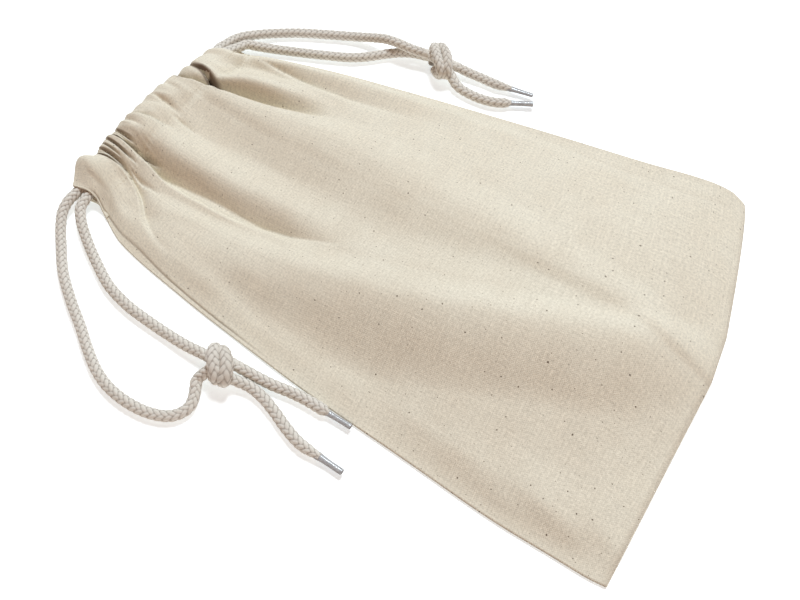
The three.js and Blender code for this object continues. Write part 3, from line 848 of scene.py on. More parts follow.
# Tight tucks, dents and small rolls that lie between the main folds, in the same stations
TUCKS: tuple[Fold, ...] = (
    Fold(FoldShape.CREASE, (
        (55.8, 155, -5, 1.0, 1.8), (54.9, 148, -7.5, 1.2, 2.2), (54, 142.4, -9, 1.4, 2.6),
        (51.4, 136.5, -10, 1.6, 3.2), (48.8, 131.5, -8.5, 1.8, 3.4), (46.7, 126.8, -4, 2, 3.4)), 5.0),
    Fold(FoldShape.CREASE, (
        (44.2, 158, -3.4, 1.4, 3.5), (43.9, 152, -4.2, 1.4, 3.5), (43.7, 147, -3.6, 1.4, 3.2),
        (44.5, 142, 0, 1.4, 3)), 5.0),
    Fold(FoldShape.BELL, (
        (45, 158, -1.6, 8, 7), (44.5, 148, -2.6, 8, 7), (43.5, 138, -2.4, 8, 6), (42, 128, 0, 8, 6)), 6.0),
    Fold(FoldShape.BELL, (
        (59.5, 156, 1.2, 2.8, 14), (58.5, 147, 1.8, 3, 14), (56.5, 138, 1.8, 3.2, 13),
        (54, 130, 0.6, 4, 10)), 6.0),
    Fold(FoldShape.CREASE, (
        (10.2, 159, -2.4, 2, 4), (11.8, 150, -2.8, 2.2, 4.5), (12.4, 141, -2, 2.6, 5.5),
        (13, 133, 0, 3, 6)), 6.0),
    Fold(FoldShape.CREASE, (
        (26.6, 156, -2, 1.8, 3.2), (25.2, 149.5, -2.4, 2, 3.6), (24, 143, -1.4, 2.2, 4.2),
        (23, 136, 0, 2.6, 5)), 6.0),
    Fold(FoldShape.CREASE, (
        (20, 139, -0.8, 1.4, 2.8), (18.8, 134.5, -1.9, 1.6, 3.2), (17.6, 129, -1.1, 1.8, 3.6),
        (16.5, 123, 0, 2, 4)), 5.0),
    Fold(FoldShape.BELL, (
        (-25, 170, 1.6, 12, 7), (-25.5, 158, 2.4, 12, 7), (-30, 147, 2, 11, 7), (-37, 138, 0, 10, 7)), 6.0),
    Fold(FoldShape.CREASE, (
        (-18, 143, -0.6, 1.4, 2.6), (-20.5, 137.5, -1.5, 1.6, 3), (-21.5, 131, -1.2, 1.8, 3.4),
        (-23, 123, 0, 2, 4)), 5.0),
    Fold(FoldShape.CREASE, (
        (-28, 164.5, -0.6, 6, 2.2), (-31, 161, -2.0, 6, 2.6), (-32, 156.5, -2.2, 6, 2.8),
        (-33, 151, -1.2, 6, 3.2), (-34.5, 146, 0, 6, 3.2)), 4.0),
    Fold(FoldShape.BELL, (
        (-62, 80, 0, 12, 14), (-60, 55, -1.6, 12, 16), (-62, 25, -1.6, 12, 18), (-66, 0, 0, 12, 18)), 10.0),
    Fold(FoldShape.BELL, (
        (-89, -55, 0.4, 16, 26), (-97, -100, 1.5, 13, 26), (-101, -140, 2.3, 12, 26),
        (-102, -160, 2.0, 12, 26)), 12.0),
)

PLEATS: tuple[Pleat, ...] = (
    Pleat(-31, 2, 0.9, 5, 5, 9), Pleat(-16.9, -0.8, 5, 0.7, 0.9, 22), Pleat(-13.6, -2.6, 4.4, 0.6, 0.8, 20),
    Pleat(-10.4, -3.6, 3.9, 0.6, 0.7, 16), Pleat(-7.3, -5.6, 5, 0.7, 0.9, 24),
    Pleat(-4.5, -3.2, 5.4, 0.7, 0.9, 34), Pleat(-0.9, -2.8, 5, 0.7, 0.9, 17), Pleat(6, -2, 2.4, 2.2, 3, 17),
    Pleat(13, 2, 1.5, 4, 4, 12), Pleat(20, 5, 2.2, 4, 5, 22), Pleat(29, 2, 1.4, 4, 5, 14),
    Pleat(37, -3, 2.2, 3, 5, 17), Pleat(67, 4, 1.6, 4, 4, 13), Pleat(75, 3, 1.2, 4, 4, 10),
)

# The two sewn sides, from the bottom fold to the mouth: near x, near y, far x, far y
SIDES: tuple[tuple[float, float, float, float], ...] = (
    (-115, -159, 108, -159), (-114.8, -151, 113.2, -151), (-112.8, -135, 114.9, -135),
    (-108.5, -102, 112.3, -102), (-99, -53, 109.5, -53), (-89, 0, 106, -2), (-79.5, 41, 103, 36),
    (-68, 86, 98.7, 81), (-54.5, 129, 92, 123), (-42.6, 148, 88, 136), (-38.8, 154, 86.4, 139.8),
    (-39.2, 167, 83, 148),
)

# Slight unevenness of cloth that lies loose: rise, length, heading in degrees and phase of each wave
WAVES: tuple[tuple[float, float, float, float], ...] = (
    (0.12, 47, 20, 0.3), (0.08, 31, 75, 2.1), (0.06, 26, 130, 4.0), (0.04, 19, 50, 1.2), (0.03, 14, 105, 5.1),
    (0.02, 10.5, 160, 3.3),
)


@dataclass(frozen=True)
class BagForm:
    """Lying shape of the bag. Shares run 0 to 1: s from near to far side, v from bottom fold to mouth."""

    edge: float = 2.0
    air: float = 1.6
    flat_width: float = 235.0
    near_x: Track = Track([row[1] for row in SIDES], [row[0] for row in SIDES])
    far_x: Track = Track([row[1] for row in SIDES], [row[2] for row in SIDES])
    far_y: Track = Track([row[1] for row in SIDES], [row[3] for row in SIDES])

    # Bow of the bottom fold: how deep, where it is full from each side, and where it ends
    bow: float = 13.2
    bow_near: float = 0.5
    bow_far: float = 0.385
    bow_round: float = 0.75
    bow_end: float = 0.3

    # Edge of the mouth: scallops, straight ends, and stretches that are pushed out
    scallop: float = 2.6
    scallop_length: float = 58.0
    straight_end: float = 0.15
    mouth_from: float = 0.88
    mouth_push: Track = Track(
        (0, 0.07, 0.12, 0.175, 0.22, 0.27, 0.42, 0.6, 0.8, 1), (0, 3.6, 3.8, 2.2, 3.6, 4.4, 1.6, 0, 0.4, 0))

    # Share of the width where the trough runs, along the bag
    guide: Track = Track(
        (-159, -94, -22, 18, 42, 63, 98, 133, 148, 167),
        (0.46, 0.45, 0.405, 0.378, 0.34, 0.325, 0.301, 0.29, 0.278, 0.295))

    # Rounding of the front towards the sides and the bottom fold
    near_round: float = 18.0
    far_round: float = 14.0
    bottom_round: float = 45.0
    bottom_fall: float = 0.45
    round_power: float = 0.8

    # Casing of the cords: depth, roll, dropped lip, and ends that the cords hold up
    casing: float = 22.0
    casing_roll: float = 2.5
    lip_from: float = 0.8
    lip_drop: float = 2.0
    held_from: Span = (0.93, 0.975)
    near_held: Bead = Bead(9.0, 0.0, 16.0)
    far_held: Bead = Bead(5.0, 0.0, 14.0)

    # Gathers: how far they reach, tight ones in one place, and loose ones
    gather_reach: float = 55.0
    gather_power: float = 1.5
    tight: Ripple = Ripple(0.2, 1.3, 1.9, 6.1)
    tight_drift: float = 13.0
    tight_place: Bead = Bead(1.0, 0.25, 0.09)
    loose: Ripple = Ripple(0.4, 3.4, 1.7, 9.3)
    loose_drift: float = 21.0

    # Seam of the hem: ridge and groove where it is drawn in, a sunk stretch and puckers
    drawn_length: float = 11.0
    drawn_phase: float = 0.9
    hem_ridge: Bead = Bead(0.4, 3.2, 2.4)
    hem_groove: Bead = Bead(-0.45, 0.0, 1.2)
    hem_sink: Bead = Bead(-1.2, 1.0, 3.0)
    sunk_from: Span = (0.72, 0.78)
    sunk_to: Span = (0.92, 0.97)
    puckers: Ripple = Ripple(0.14, 0.62, 1.3, 3.7)
    pucker_place: Bead = Bead(1.0, 0.0, 3.0)

    # Side seams: tugs along both, dents near the near corner, the strip outside the near seam and the painted
    # shade along its groove
    flat_edge: Span = (1.5, 14.0)
    tugs: Ripple = Ripple(0.12, 2.1, 1.6, 7.9)
    tug_place: Bead = Bead(1.0, 4.5, 4.5)
    dents: Ripple = Ripple(0.55, 5.2, 1.4, 6.0)
    dent_place: Bead = Bead(1.0, 13.0, 10.0)
    dent_from: Span = (-70.0, -110.0)
    near_seam: Track = Track((-159, -60, 40, 93, 118, 133, 148), (1.5, 1.5, 1.7, 2.3, 3.9, 3.0, 1.3))
    strip_from: Span = (20.0, 60.0)
    strip_to: Span = (8.0, 14.0)
    strip_drop: float = 0.6
    strip_edge: Span = (-0.4, 0.5)
    seam_groove: Bead = Bead(0.35, 0.0, 0.5)
    # Painted shade along the groove of the near seam, laid into the crown attribute
    seam_shade: Bead = Bead(0.5, 0.0, 0.35)

    def length(self) -> float:
        """Give the length of the near side."""
        return SIDES[-1][1] - SIDES[0][1]

    def plan(self, s: Array, v: Array) -> tuple[Array, Array, Array, Array]:
        """Find places in plan.

        Args:
            s: Shares of the width.
            v: Shares of the length.

        Returns:
            x, y and the distances from the near and the far side.
        """
        row = SIDES[0][1] + v * self.length()
        near_x, far_x, far_y = self.near_x.at(row), self.far_x.at(row), self.far_y.at(row)
        x = near_x + (far_x - near_x) * s
        far_share = np.clip((1 - s) / self.bow_far, 0, None) ** self.bow_round
        full = np.minimum(1.0, np.minimum(s / self.bow_near, far_share))
        bow = self.bow * full * (1 - ease(0.0, self.bow_end, v))
        ends = ease(0.0, self.straight_end, s) * ease(0.0, self.straight_end, 1 - s)
        scallops = self.scallop * np.sin(math.pi * x / self.scallop_length) ** 2 * ends
        mouth = (scallops + self.mouth_push.at(s)) * ease(self.mouth_from, 1.0, v)
        y = row + (far_y - row) * s - bow + mouth
        return x, y, x - near_x, far_x - x

    def inside(self, s: Array, y: Array) -> Array:
        """Give the distance from the mouth edge."""
        return self.plan(s, np.ones_like(y))[1] - y

    def front(self, s: Array, v: Array) -> Array:
        """Find points on the outside of the front.

        Args:
            s: Shares of the width.
            v: Shares of the length.

        Returns:
            Places in millimetres, ending in x, y, z.
        """
        x, y, near, far = self.plan(s, v)
        inside = self.inside(s, y)
        roll = np.clip(1 - inside / self.casing, 0, 1)
        lip = np.clip(roll - self.lip_from, 0, None) / (1 - self.lip_from)
        casing = self.casing_roll * np.sin(math.pi * roll) - self.lip_drop * lip**2
        folds = sum(fold.height(x, y) for fold in (*FOLDS.values(), *TUCKS))
        pleats = sum(pleat.cut(x, inside) for pleat in PLEATS)
        rise = np.clip(folds + casing - pleats, 0, None)
        sides = (ease(0.0, self.near_round, near) * ease(0.0, self.far_round, far)) ** self.round_power
        above = y - self.plan(s, np.zeros_like(v))[1]
        bottom = ease(0.0, self.bottom_round, above) ** self.round_power
        fall = sides * (1 - self.bottom_fall * (1 - bottom))
        ends = ease(*self.held_from, v) * (self.near_held.at(near) + self.far_held.at(far))
        z = self.edge + ends + (self.air + rise) * fall
        return np.stack([x, y, z + self.fine_relief(s, x, y, inside, near, far)], -1)

    def crowns(self, s: Array, v: Array) -> Array:
        """Find where shade is painted on the front: in its tight creases and pleats, and along the near seam.

        Args:
            s: Shares of the width.
            v: Shares of the length.

        Returns:
            0 where the painted shade is full, 1 on open cloth.
        """
        x, y, near, _ = self.plan(s, v)
        inside = self.inside(s, y)
        lines = [pleat.line(x, inside) for pleat in PLEATS] + [tuck.line(x, y) for tuck in TUCKS]
        lines.append(self.seam_shade.at(near - self.near_seam.at(y)) * self.strip(y, inside))
        return 1 - np.max(lines, 0)

    def strip(self, y: Array, inside: Array) -> Array:
        """Find where the near side shows a strip of cloth outside its seam, 1 there and 0 elsewhere."""
        short, long = self.strip_to
        return ease(*self.strip_from, y) * ease(self.casing - long, self.casing - short, inside)

    def waves(self, x: Array, y: Array) -> Array:
        """Give the slight unevenness of cloth that lies loose.

        Args:
            x: Places across the bag.
            y: Places along it.

        Returns:
            Millimetres of rise at each place.
        """
        total = np.zeros_like(x)
        for rise, length, heading, phase in WAVES:
            turn = math.radians(heading)
            total += rise * np.sin(2 * math.pi * (x * math.cos(turn) + y * math.sin(turn)) / length + phase)
        return total

    def fine_relief(self, s: Array, x: Array, y: Array, inside: Array, near: Array, far: Array) -> Array:
        """Find the small relief of seams, gathers and loose cloth.

        Args:
            s: Shares of the width.
            x: Places across the bag.
            y: Places along it.
            inside: Distance from the mouth edge.
            near: Distance from the near side.
            far: Distance from the far side.

        Returns:
            Millimetres to add to the front.
        """
        cloth = s * self.flat_width
        below = inside - self.casing
        body = ease(*self.flat_edge, near) * ease(*self.flat_edge, far)
        gather = np.clip(1 - inside / self.gather_reach, 0, 1) ** self.gather_power
        tight = self.tight.at(cloth, cloth, inside / self.tight_drift) * self.tight_place.at(s)
        loose = self.loose.at(cloth, cloth, inside / self.loose_drift)
        drawn = 0.5 + 0.5 * np.sin(cloth / self.drawn_length + self.drawn_phase)
        sunk = ease(*self.sunk_from, s) * (1 - ease(*self.sunk_to, s))
        hem = drawn * (self.hem_ridge.at(below) + self.hem_groove.at(below)) + sunk * self.hem_sink.at(below)
        puckers = self.puckers.at(cloth, cloth) * self.pucker_place.at(below)
        tugs = self.tugs.at(y, y) * (self.tug_place.at(near) + self.tug_place.at(far)) * (1 - gather)
        dents = self.dents.at(y, x) * self.dent_place.at(near) * ease(*self.dent_from, y)
        seam = near - self.near_seam.at(y)
        sewn = self.strip_drop * (1 - ease(*self.strip_edge, seam)) + self.seam_groove.at(seam)
        small = gather * (tight + loose) + hem + puckers + dents + self.waves(x, y) + tugs
        return body * small - sewn * self.strip(y, inside)


class Face(Enum):
    """Face of the bag, with the way its grain runs across."""

    FRONT = 1.0
    BACK = -1.0


@dataclass
class BagCloth:
    """The cloth: front and back in one, folded at the bottom, hemmed at the open mouth."""

    form: BagForm = BagForm()
    finish: UnbleachedCotton = UnbleachedCotton()
    thickness: float = 0.6
    rows: int = 140
    row_crowding: float = 1.5
    columns: int = 240
    back_step: int = 6
    edge_width: float = 230.0
    edge_steps: tuple[float, ...] = (0, 0.35, 0.7, 1.05, 1.4, 1.75, 2.15, 2.6, 3.1, 3.7, 4.4, 5.2)

    # Column that follows the trough, and where the columns before and after it lie at the mouth
    trough_column: float = 0.3
    near_crowd: tuple[tuple[float, float], ...] = ((0, 0), (0.08, 0.15))
    far_crowd: tuple[tuple[float, float], ...] = ((0.39, 0.36), (0.6, 0.66), (0.82, 0.8), (1, 1))
    crowd_from: Span = (0.84, 0.95)

    # Back: lift off the table, gathers, rolled lip and flat edge
    back_lift: float = 0.25
    back_gather: float = 1.1
    back_reach: float = 40.0
    back_power: float = 1.2
    back_ripple: Ripple = Ripple(0.5, 1.9, 1.2, 8.3)
    back_roll: float = 0.9
    back_lip: float = 2.5
    back_edge: Span = (2.0, 16.0)

    # Hem turned in at the mouth: depth, tunnel for the cords, and gaps to the front and the back
    hem_depth: float = 23.0
    hem_rows: int = 12
    hem_crowding: float = 1.7
    hem_start: float = 0.05
    hem_turn: Span = (-0.4, 2.2)
    sewn_from: float = 0.7
    near_tunnel: Bead = Bead(5.6, 0.0, 15.0)
    far_tunnel: Bead = Bead(3.4, 0.0, 12.0)
    front_gap: float = 2.0
    front_sewn: float = 1.0
    front_floor: float = 1.9
    back_gap: float = 1.5
    back_sewn: float = 0.6

    # Closed edges: share of the length that is sewn, bulge, grain across the edge and crown, which paints
    # shade along the sewn sides
    sewn_share: float = 0.955
    side_bulge: float = 0.45
    bottom_bulge: float = 0.5
    edge_grain: float = 1.2
    edge_shade_crown: float = 0.45
    piece: Piece | None = None

    def shares(self, v: Array) -> Array:
        """Find where the columns of the front lie.

        Args:
            v: Share of the length of each row.

        Returns:
            Shares of the width, one row for each v. The columns follow the trough, and crowd at the sides and
            in the pleats of the mouth.
        """
        side = np.asarray(self.edge_steps) / self.edge_width
        spread = np.linspace(side[-1], 1 - side[-1], self.columns + 1)
        column = np.concatenate([side[:-1], spread, 1 - side[:-1][::-1]])
        guide = self.form.guide.at(SIDES[0][1] + v * self.form.length())[:, None]
        knee = self.trough_column
        low = column * guide / knee
        high = guide + (column - knee) * (1 - guide) / (1 - knee)
        even = np.where(column < knee, low, high)
        crowded = np.stack([
            np.interp(column, *zip(*self.near_crowd, (knee, trough), *self.far_crowd))
            for trough in guide[:, 0]])
        return even + (crowded - even) * ease(*self.crowd_from, v)[:, None]

    def back(self, s: Array, v: Array) -> Array:
        """Find points on the outside of the back, which lies on the table.

        Args:
            s: Shares of the width.
            v: Shares of the length.

        Returns:
            Places in millimetres.
        """
        x, y, near, far = self.form.plan(s, v)
        inside = self.form.inside(s, y)
        cloth = s * self.form.flat_width
        body = ease(*self.back_edge, near) * ease(*self.back_edge, far)
        gather = self.back_gather * np.clip(1 - inside / self.back_reach, 0, 1) ** self.back_power
        lift = gather * (0.5 + self.back_ripple.at(cloth, cloth))
        roll = self.back_roll * np.clip(1 - inside / self.back_lip, 0, 1) ** 2
        return np.stack([x, y, self.back_lift + body * lift + roll], -1)

    def hem(self, s: Array, depth: Array, face: Face) -> Array:
        """Find the hem turned in at the mouth.

        Args:
            s: Shares of the width of the mouth row.
            depth: Distance of each row from the mouth edge.
            face: The face that it is sewn to.

        Returns:
            Rows of places in millimetres, from just inside the lip to the hem's sewn edge.
        """
        shares, inside = np.meshgrid(s, depth + self.hem_start)
        v = 1 - inside / self.form.length()
        near, far = self.form.plan(shares, v)[2:]
        sewn = ease(self.hem_depth * self.sewn_from, self.hem_depth, inside)
        turn = ease(*self.hem_turn, inside)
        if face is Face.BACK:
            points = self.back(shares, v)
            points[..., 2] += turn * (self.back_gap - self.back_sewn * sewn)
            return points
        tunnel = self.near_tunnel.at(near) + self.far_tunnel.at(far)
        drop = turn * (self.front_gap + tunnel * (1 - sewn) - self.front_sewn * sewn)
        points = self.form.front(shares, v)
        points[..., 2] = np.maximum(points[..., 2] - drop, self.front_floor)
        return points

    def build(self) -> None:
        """Make the cloth as one sheet and give it its thickness."""
        form = self.form
        parts = MeshParts()
        v = 1 - (1 - np.linspace(0, 1, self.rows + 1)) ** self.row_crowding
        s = self.shares(v)
        vs = np.repeat(v[:, None], s.shape[1], 1)
        grain = self._grain(s, vs * form.length(), Face.FRONT)
        # The front's crowns mark where shade is painted in its creases and along the near seam
        front = parts.add_points(form.front(s, vs) * MM, grain, form.crowns(s, vs))
        parts.add_grid(front)

        picked = np.unique(np.append(np.arange(0, s.shape[1], self.back_step), s.shape[1] - 1))
        back_s, back_v = s[:, picked], vs[:, picked]
        grain = self._grain(back_s, back_v * form.length(), Face.BACK)
        back = parts.add_points(self.back(back_s, back_v) * MM, grain)
        parts.add_grid(back, flip=True)

        sewn = int(np.searchsorted(v, self.sewn_share)) + 1
        self._close_sides(parts, front[:sewn], back[:sewn])
        self._close_bottom(parts, front[0], back[0], picked)
        self._turn_in(parts, front[-1], s[-1], Face.FRONT)
        self._turn_in(parts, back[-1], back_s[-1], Face.BACK)
        self.piece = parts.make("bag_cloth")
        apply_modifier(
            self.piece, "SOLIDIFY", thickness=self.thickness * MM, offset=-1.0, use_even_offset=False)

    def _grain(self, s: Array, along: Array, face: Face) -> Array:
        """Give surface coordinates in metres, from shares of the width and millimetres along."""
        return np.stack(np.broadcast_arrays(face.value * s * self.form.flat_width, along), -1) * MM

    def _close_sides(self, parts: MeshParts, front: Array, back: Array) -> None:
        """Join front and back along both sewn sides.

        Args:
            parts: The mesh in the making.
            front: Vertex indices of the front's sewn rows.
            back: Vertex indices of the back's sewn rows.
        """
        placed, grain = np.concatenate(parts.points), np.concatenate(parts.coords)
        for column, outward in ((0, -MM), (-1, MM)):
            upper, lower = front[:, column], back[:, column]
            middle = (placed[upper] + placed[lower]) / 2 + np.array([outward * self.side_bulge, 0, 0])
            shift = np.array([outward * self.edge_grain, 0])
            # Painted shade along both sewn sides: the joint and the rim take a low crown
            crown = np.full(len(upper), self.edge_shade_crown)
            joint = parts.add_points(middle, grain[upper] + shift, crown)
            rim = parts.add_points(placed[lower], grain[upper] + 2 * shift, crown)
            parts.add_grid(np.stack([upper, joint, rim], 1), flip=outward < 0)

    def _close_bottom(self, parts: MeshParts, upper: Array, lower: Array, picked: Array) -> None:
        """Join front and back round the bottom fold.

        Args:
            parts: The mesh in the making.
            upper: Vertex indices of the front's first row.
            lower: Vertex indices of the back's first row.
            picked: Columns of the front that the back's columns lie under.
        """
        placed, grain = np.concatenate(parts.points)[upper], np.concatenate(parts.coords)[upper]
        flat = np.column_stack([placed[:, :2], np.full(len(placed), self.back_lift * MM)])
        half = (placed + flat) / 2 - np.array([0, self.bottom_bulge * MM, 0])
        joint = parts.add_points(half, grain - np.array([0, self.edge_grain * MM]))
        parts.add_grid(np.stack([joint, upper], 0))
        for k, (start, end) in enumerate(zip(picked, picked[1:])):
            parts.add_face([lower[k], lower[k + 1], *joint[start: end + 1][::-1]])

    def _turn_in(self, parts: MeshParts, lip: Array, s: Array, face: Face) -> None:
        """Turn the hem in at one lip of the mouth.

        Args:
            parts: The mesh in the making.
            lip: Vertex indices of the lip.
            s: Their shares of the width.
            face: The face that the lip belongs to.
        """
        depth = self.hem_depth * np.linspace(0, 1, self.hem_rows) ** self.hem_crowding
        grain = self._grain(s[None, :], self.form.length() + depth[:, None], face)
        inner = parts.add_points(self.hem(s, depth, face) * MM, grain)
        parts.add_grid(np.concatenate([lip[None, :], inner], 0), flip=face is Face.BACK)

    def dress(self) -> None:
        dress_piece(self.piece, self.finish.material(), "bag")


@dataclass
class HemStitches:
    """Stitches of the hem where no gather hides them. Spans, pitch and step are shares of the width."""

    form: BagForm = BagForm()
    finish: SewingThread = SewingThread()
    spans: tuple[tuple[float, float], ...] = ((0.11, 0.19), (0.88, 0.97))
    pitch: float = 0.0152
    step: float = 0.004
    length: float = 1.75
    width: float = 0.5
    flat: float = 0.7
    lift: float = 0.05
    piece: Piece | None = None

    def build(self) -> None:
        """Model one stitch, then lay copies of it along the seam."""
        deselect_all()
        bpy.ops.mesh.primitive_uv_sphere_add(segments=8, ring_count=6, radius=0.5)
        pattern = bpy.context.object
        bpy.ops.object.mode_set(mode="EDIT")
        bpy.ops.transform.resize(
            value=(self.length, self.width, self.width * self.flat), center_override=(0, 0, 0))
        bpy.ops.object.mode_set(mode="OBJECT")
        shape = np.array([vertex.co for vertex in pattern.data.vertices])
        faces = [list(face.vertices) for face in pattern.data.polygons]
        bpy.data.objects.remove(pattern)

        s = np.concatenate([np.arange(start, end, self.pitch) for start, end in self.spans])
        v = np.full_like(s, 1 - self.form.casing / self.form.length())
        across = unit(self.form.front(s + self.step, v) - self.form.front(s - self.step, v))
        down = self.form.front(s, v + self.step) - self.form.front(s, v - self.step)
        normal = unit(np.cross(across, down))
        side = np.cross(normal, across)
        parts = MeshParts()
        for centre, a, b, n in zip(self.form.front(s, v), across, side, normal):
            points = centre + (shape + self.lift * UP) @ np.array([a, b, n])
            index = parts.add_points(points * MM, shape[:, :2] * MM)
            for face in faces:
                parts.add_face(index[face])
        self.piece = parts.make("hem_stitches")

    def dress(self) -> None:
        dress_piece(self.piece, self.finish.material())


# Cords


def smooth_line(points: Sequence[Array], step: float) -> Array:
    """Lay a smooth line through points.

    Args:
        points: Places in metres.
        step: Length between the line's own points.

    Returns:
        Places along the line, evenly spaced.
    """
    given = np.asarray(points, float)
    padded = np.vstack([2 * given[0] - given[1], given, 2 * given[-1] - given[-2]])
    found: list[Array] = []
    for p0, p1, p2, p3 in zip(padded, padded[1:], padded[2:], padded[3:]):
        spans = ((p0, p1), (p1, p2), (p2, p3))
        d0, d1, d2 = (max(float(np.linalg.norm(b - a)), 1e-6) ** 0.5 for a, b in spans)
        t1 = ((p1 - p0) / d0 - (p2 - p0) / (d0 + d1) + (p2 - p1) / d1) * d1
        t2 = ((p2 - p1) / d1 - (p3 - p1) / (d1 + d2) + (p3 - p2) / d2) * d1
        u = np.linspace(0, 1, 40, endpoint=False)[:, None]
        found.append(p1 + t1 * u + (3 * (p2 - p1) - 2 * t1 - t2) * u**2 + (2 * (p1 - p2) + t1 + t2) * u**3)
    fine = np.vstack([*found, given[-1:]])
    run = run_along(fine)
    even = np.linspace(0, run[-1], max(int(round(run[-1] / step)), 4) + 1)
    return np.stack([np.interp(even, run, fine[:, axis]) for axis in range(3)], 1)


@dataclass(frozen=True)
class Braid:
    """Round plait of twelve yarns, each over two and under two, in metres."""

    diameter: float = 0.006
    carriers: int = 6
    pitch: float = 0.0034
    depth: float = 0.00062
    round_across: float = 0.97
    round_along: float = 0.55
    sides: int = 48
    step: float = 0.00034

    def crown(self, turn: Array, run: Array) -> Array:
        """Find how high the top yarn stands.

        Args:
            turn: Turns round the cord.
            run: Metres along it.

        Returns:
            Share of the relief, 0 between yarns and 1 on a yarn's crown.
        """
        u = self.carriers * turn + run / self.pitch
        w = self.carriers * turn - run / self.pitch
        i, j = np.floor(u + 1e-6), np.floor(w + 1e-6)
        place = np.mod(i + j, 4)
        over = place < 2
        across = np.where(over, u - i, w - j) * 2 - 1
        along = np.where(over, place + w - j, place - 2 + u - i) - 1
        return np.sqrt(np.clip(1 - self.round_across * across**2, 0, 1)) * (1 - self.round_along * along**2)

    def add_tube(
        self, parts: MeshParts, line: Array, radius: Array | None = None, start: float = 0.0,
    ) -> None:
        """Add a braided tube along a line.

        Args:
            parts: The mesh in the making.
            line: Evenly spaced places of its middle.
            radius: Outer radius at each place, the cord's own if none.
            start: Where along the plait it starts.
        """
        tangent = unit(np.gradient(line, axis=0))
        normal = np.empty_like(line)
        steep = abs(tangent[0][2]) >= 0.9
        before = np.array([1.0, 0.0, 0.0]) if steep else UP
        for i, ahead in enumerate(tangent):
            normal[i] = before = unit(before - ahead * (before @ ahead))
        side = np.cross(tangent, normal)
        turns, runs = np.meshgrid(np.arange(self.sides) / self.sides, start + run_along(line))
        crown = self.crown(turns, runs)
        outer = np.full(len(line), self.diameter / 2) if radius is None else radius
        reach = outer[:, None] - self.depth * (outer / outer.max())[:, None] * (1 - crown)
        angle = 2 * math.pi * turns
        spoke = np.cos(angle)[..., None] * normal[:, None] + np.sin(angle)[..., None] * side[:, None]
        grain = np.stack([turns * math.pi * self.diameter, runs], -1)
        # The crown also marks where the finish paints shade between the yarns
        index = parts.add_points(line[:, None] + reach[..., None] * spoke, grain, crown)
        parts.add_grid(np.concatenate([index, index[:, :1]], 1))
        parts.add_face(index[0][::-1])
        parts.add_face(index[-1])


class CordEnd(Enum):
    """How the braid runs into its tip: lengths before and past the tail's end."""

    BLUNT = (2.2, 1.6)
    TAPERED = (8.5, 1.2)


@dataclass(frozen=True)
class TipShape:
    """Crimped tip: rows of distance past the tail's end and radius, flatness and the braid's end in it."""

    profile: tuple[tuple[float, float], ...]
    flat: float
    end: CordEnd


TIP_SHAPES: dict[str, TipShape] = {
    "near_a": TipShape(
        ((0.2, 2.1), (1.4, 1.7), (2.6, 1.5), (7, 1.45), (12, 1.5), (14.2, 1.56)), 0.74, CordEnd.BLUNT),
    "near_b": TipShape(
        ((-1.5, 2.5), (1.0, 2.1), (3.6, 1.75), (8, 1.6), (12, 1.72), (14.2, 1.6)), 0.66, CordEnd.TAPERED),
    "far_a": TipShape(
        ((-2.0, 2.45), (1.0, 2.0), (4.2, 1.7), (9, 1.5), (14.2, 1.46)), 0.62, CordEnd.TAPERED),
    "far_b": TipShape(
        ((0.2, 2.2), (1.4, 1.9), (2.8, 1.75), (8, 1.7), (12, 1.74), (14.2, 1.84)), 0.74, CordEnd.BLUNT),
}


@dataclass
class CordTip:
    """Tip of one tail, modelled upright and then laid in line with the tail."""

    name: str
    shape: TipShape
    start: Array
    heading: Array
    sides: int = 28
    rim: float = 0.35
    bore: float = 0.25
    bore_depth: float = 0.5
    piece: Piece | None = None

    def build(self) -> None:
        """Extrude the tip from a disc, flatten it, sink its cut end and lay it down."""
        rows = self.shape.profile
        deselect_all()
        bpy.ops.mesh.primitive_circle_add(
            vertices=self.sides, radius=rows[0][1] * MM, fill_type="NGON", location=(0, 0, 0))
        self.piece = bpy.context.object
        self.piece.name = self.name
        bpy.ops.object.mode_set(mode="EDIT")
        bpy.ops.mesh.select_all(action="SELECT")
        bpy.ops.transform.translate(value=(0, 0, rows[0][0] * MM))
        for (before, wide), (after, narrow) in zip(rows, rows[1:]):
            bpy.ops.mesh.extrude_region_move(TRANSFORM_OT_translate={"value": (0, 0, (after - before) * MM)})
            scale = narrow / wide
            bpy.ops.transform.resize(value=(scale, scale, 1.0), center_override=(0, 0, after * MM))
        bpy.ops.mesh.inset(thickness=self.rim * MM, depth=0.0)
        bpy.ops.mesh.inset(thickness=self.bore * MM, depth=-self.bore_depth * MM)
        bpy.ops.mesh.select_all(action="SELECT")
        bpy.ops.transform.resize(value=(1.0, self.shape.flat, 1.0), center_override=(0, 0, 0))
        bpy.ops.mesh.normals_make_consistent(inside=False)
        bpy.ops.object.mode_set(mode="OBJECT")
        apply_modifier(self.piece, "SUBSURF", levels=2, render_levels=2)
        bpy.ops.object.shade_smooth()
        along = Vector(self.heading).normalized()
        level = Vector(UP).cross(along).normalized()
        lay = Matrix((level, along.cross(level), along)).transposed().to_4x4()
        self.piece.matrix_world = Matrix.Translation(Vector(self.start)) @ lay
        bpy.ops.object.transform_apply(location=True, rotation=True, scale=True)
        log.info("%s: %d faces", self.name, len(self.piece.data.polygons))


@dataclass(frozen=True)
class KnotPlace:
    """Where a knot lies, its heading in degrees, and how its two wraps lean, skew, pinch and stand."""

    centre: tuple[float, float]
    heading: float
    lean: float
    skew: float
    pinch: float
    across: float
    up: float = 4.7
    pitch: float = 5.3
    height: float = 8.0
    wrap_radius: float = 3.0


@dataclass(frozen=True)
class Strand:
    """One cord from the hem to its tip: the route to the knot, and the tail's letter and route.

    The sink turns its hidden end away from the mouth's edge.
    """

    name: str
    route: tuple[Point, ...]
    tail: str
    tail_route: tuple[Point, ...]
    sink: float = 0.0

    def routes(self) -> tuple[Array, Array]:
        """Give the route to the knot and the tail's route, in metres."""
        return np.asarray(self.route) * MM, np.asarray(self.tail_route) * MM


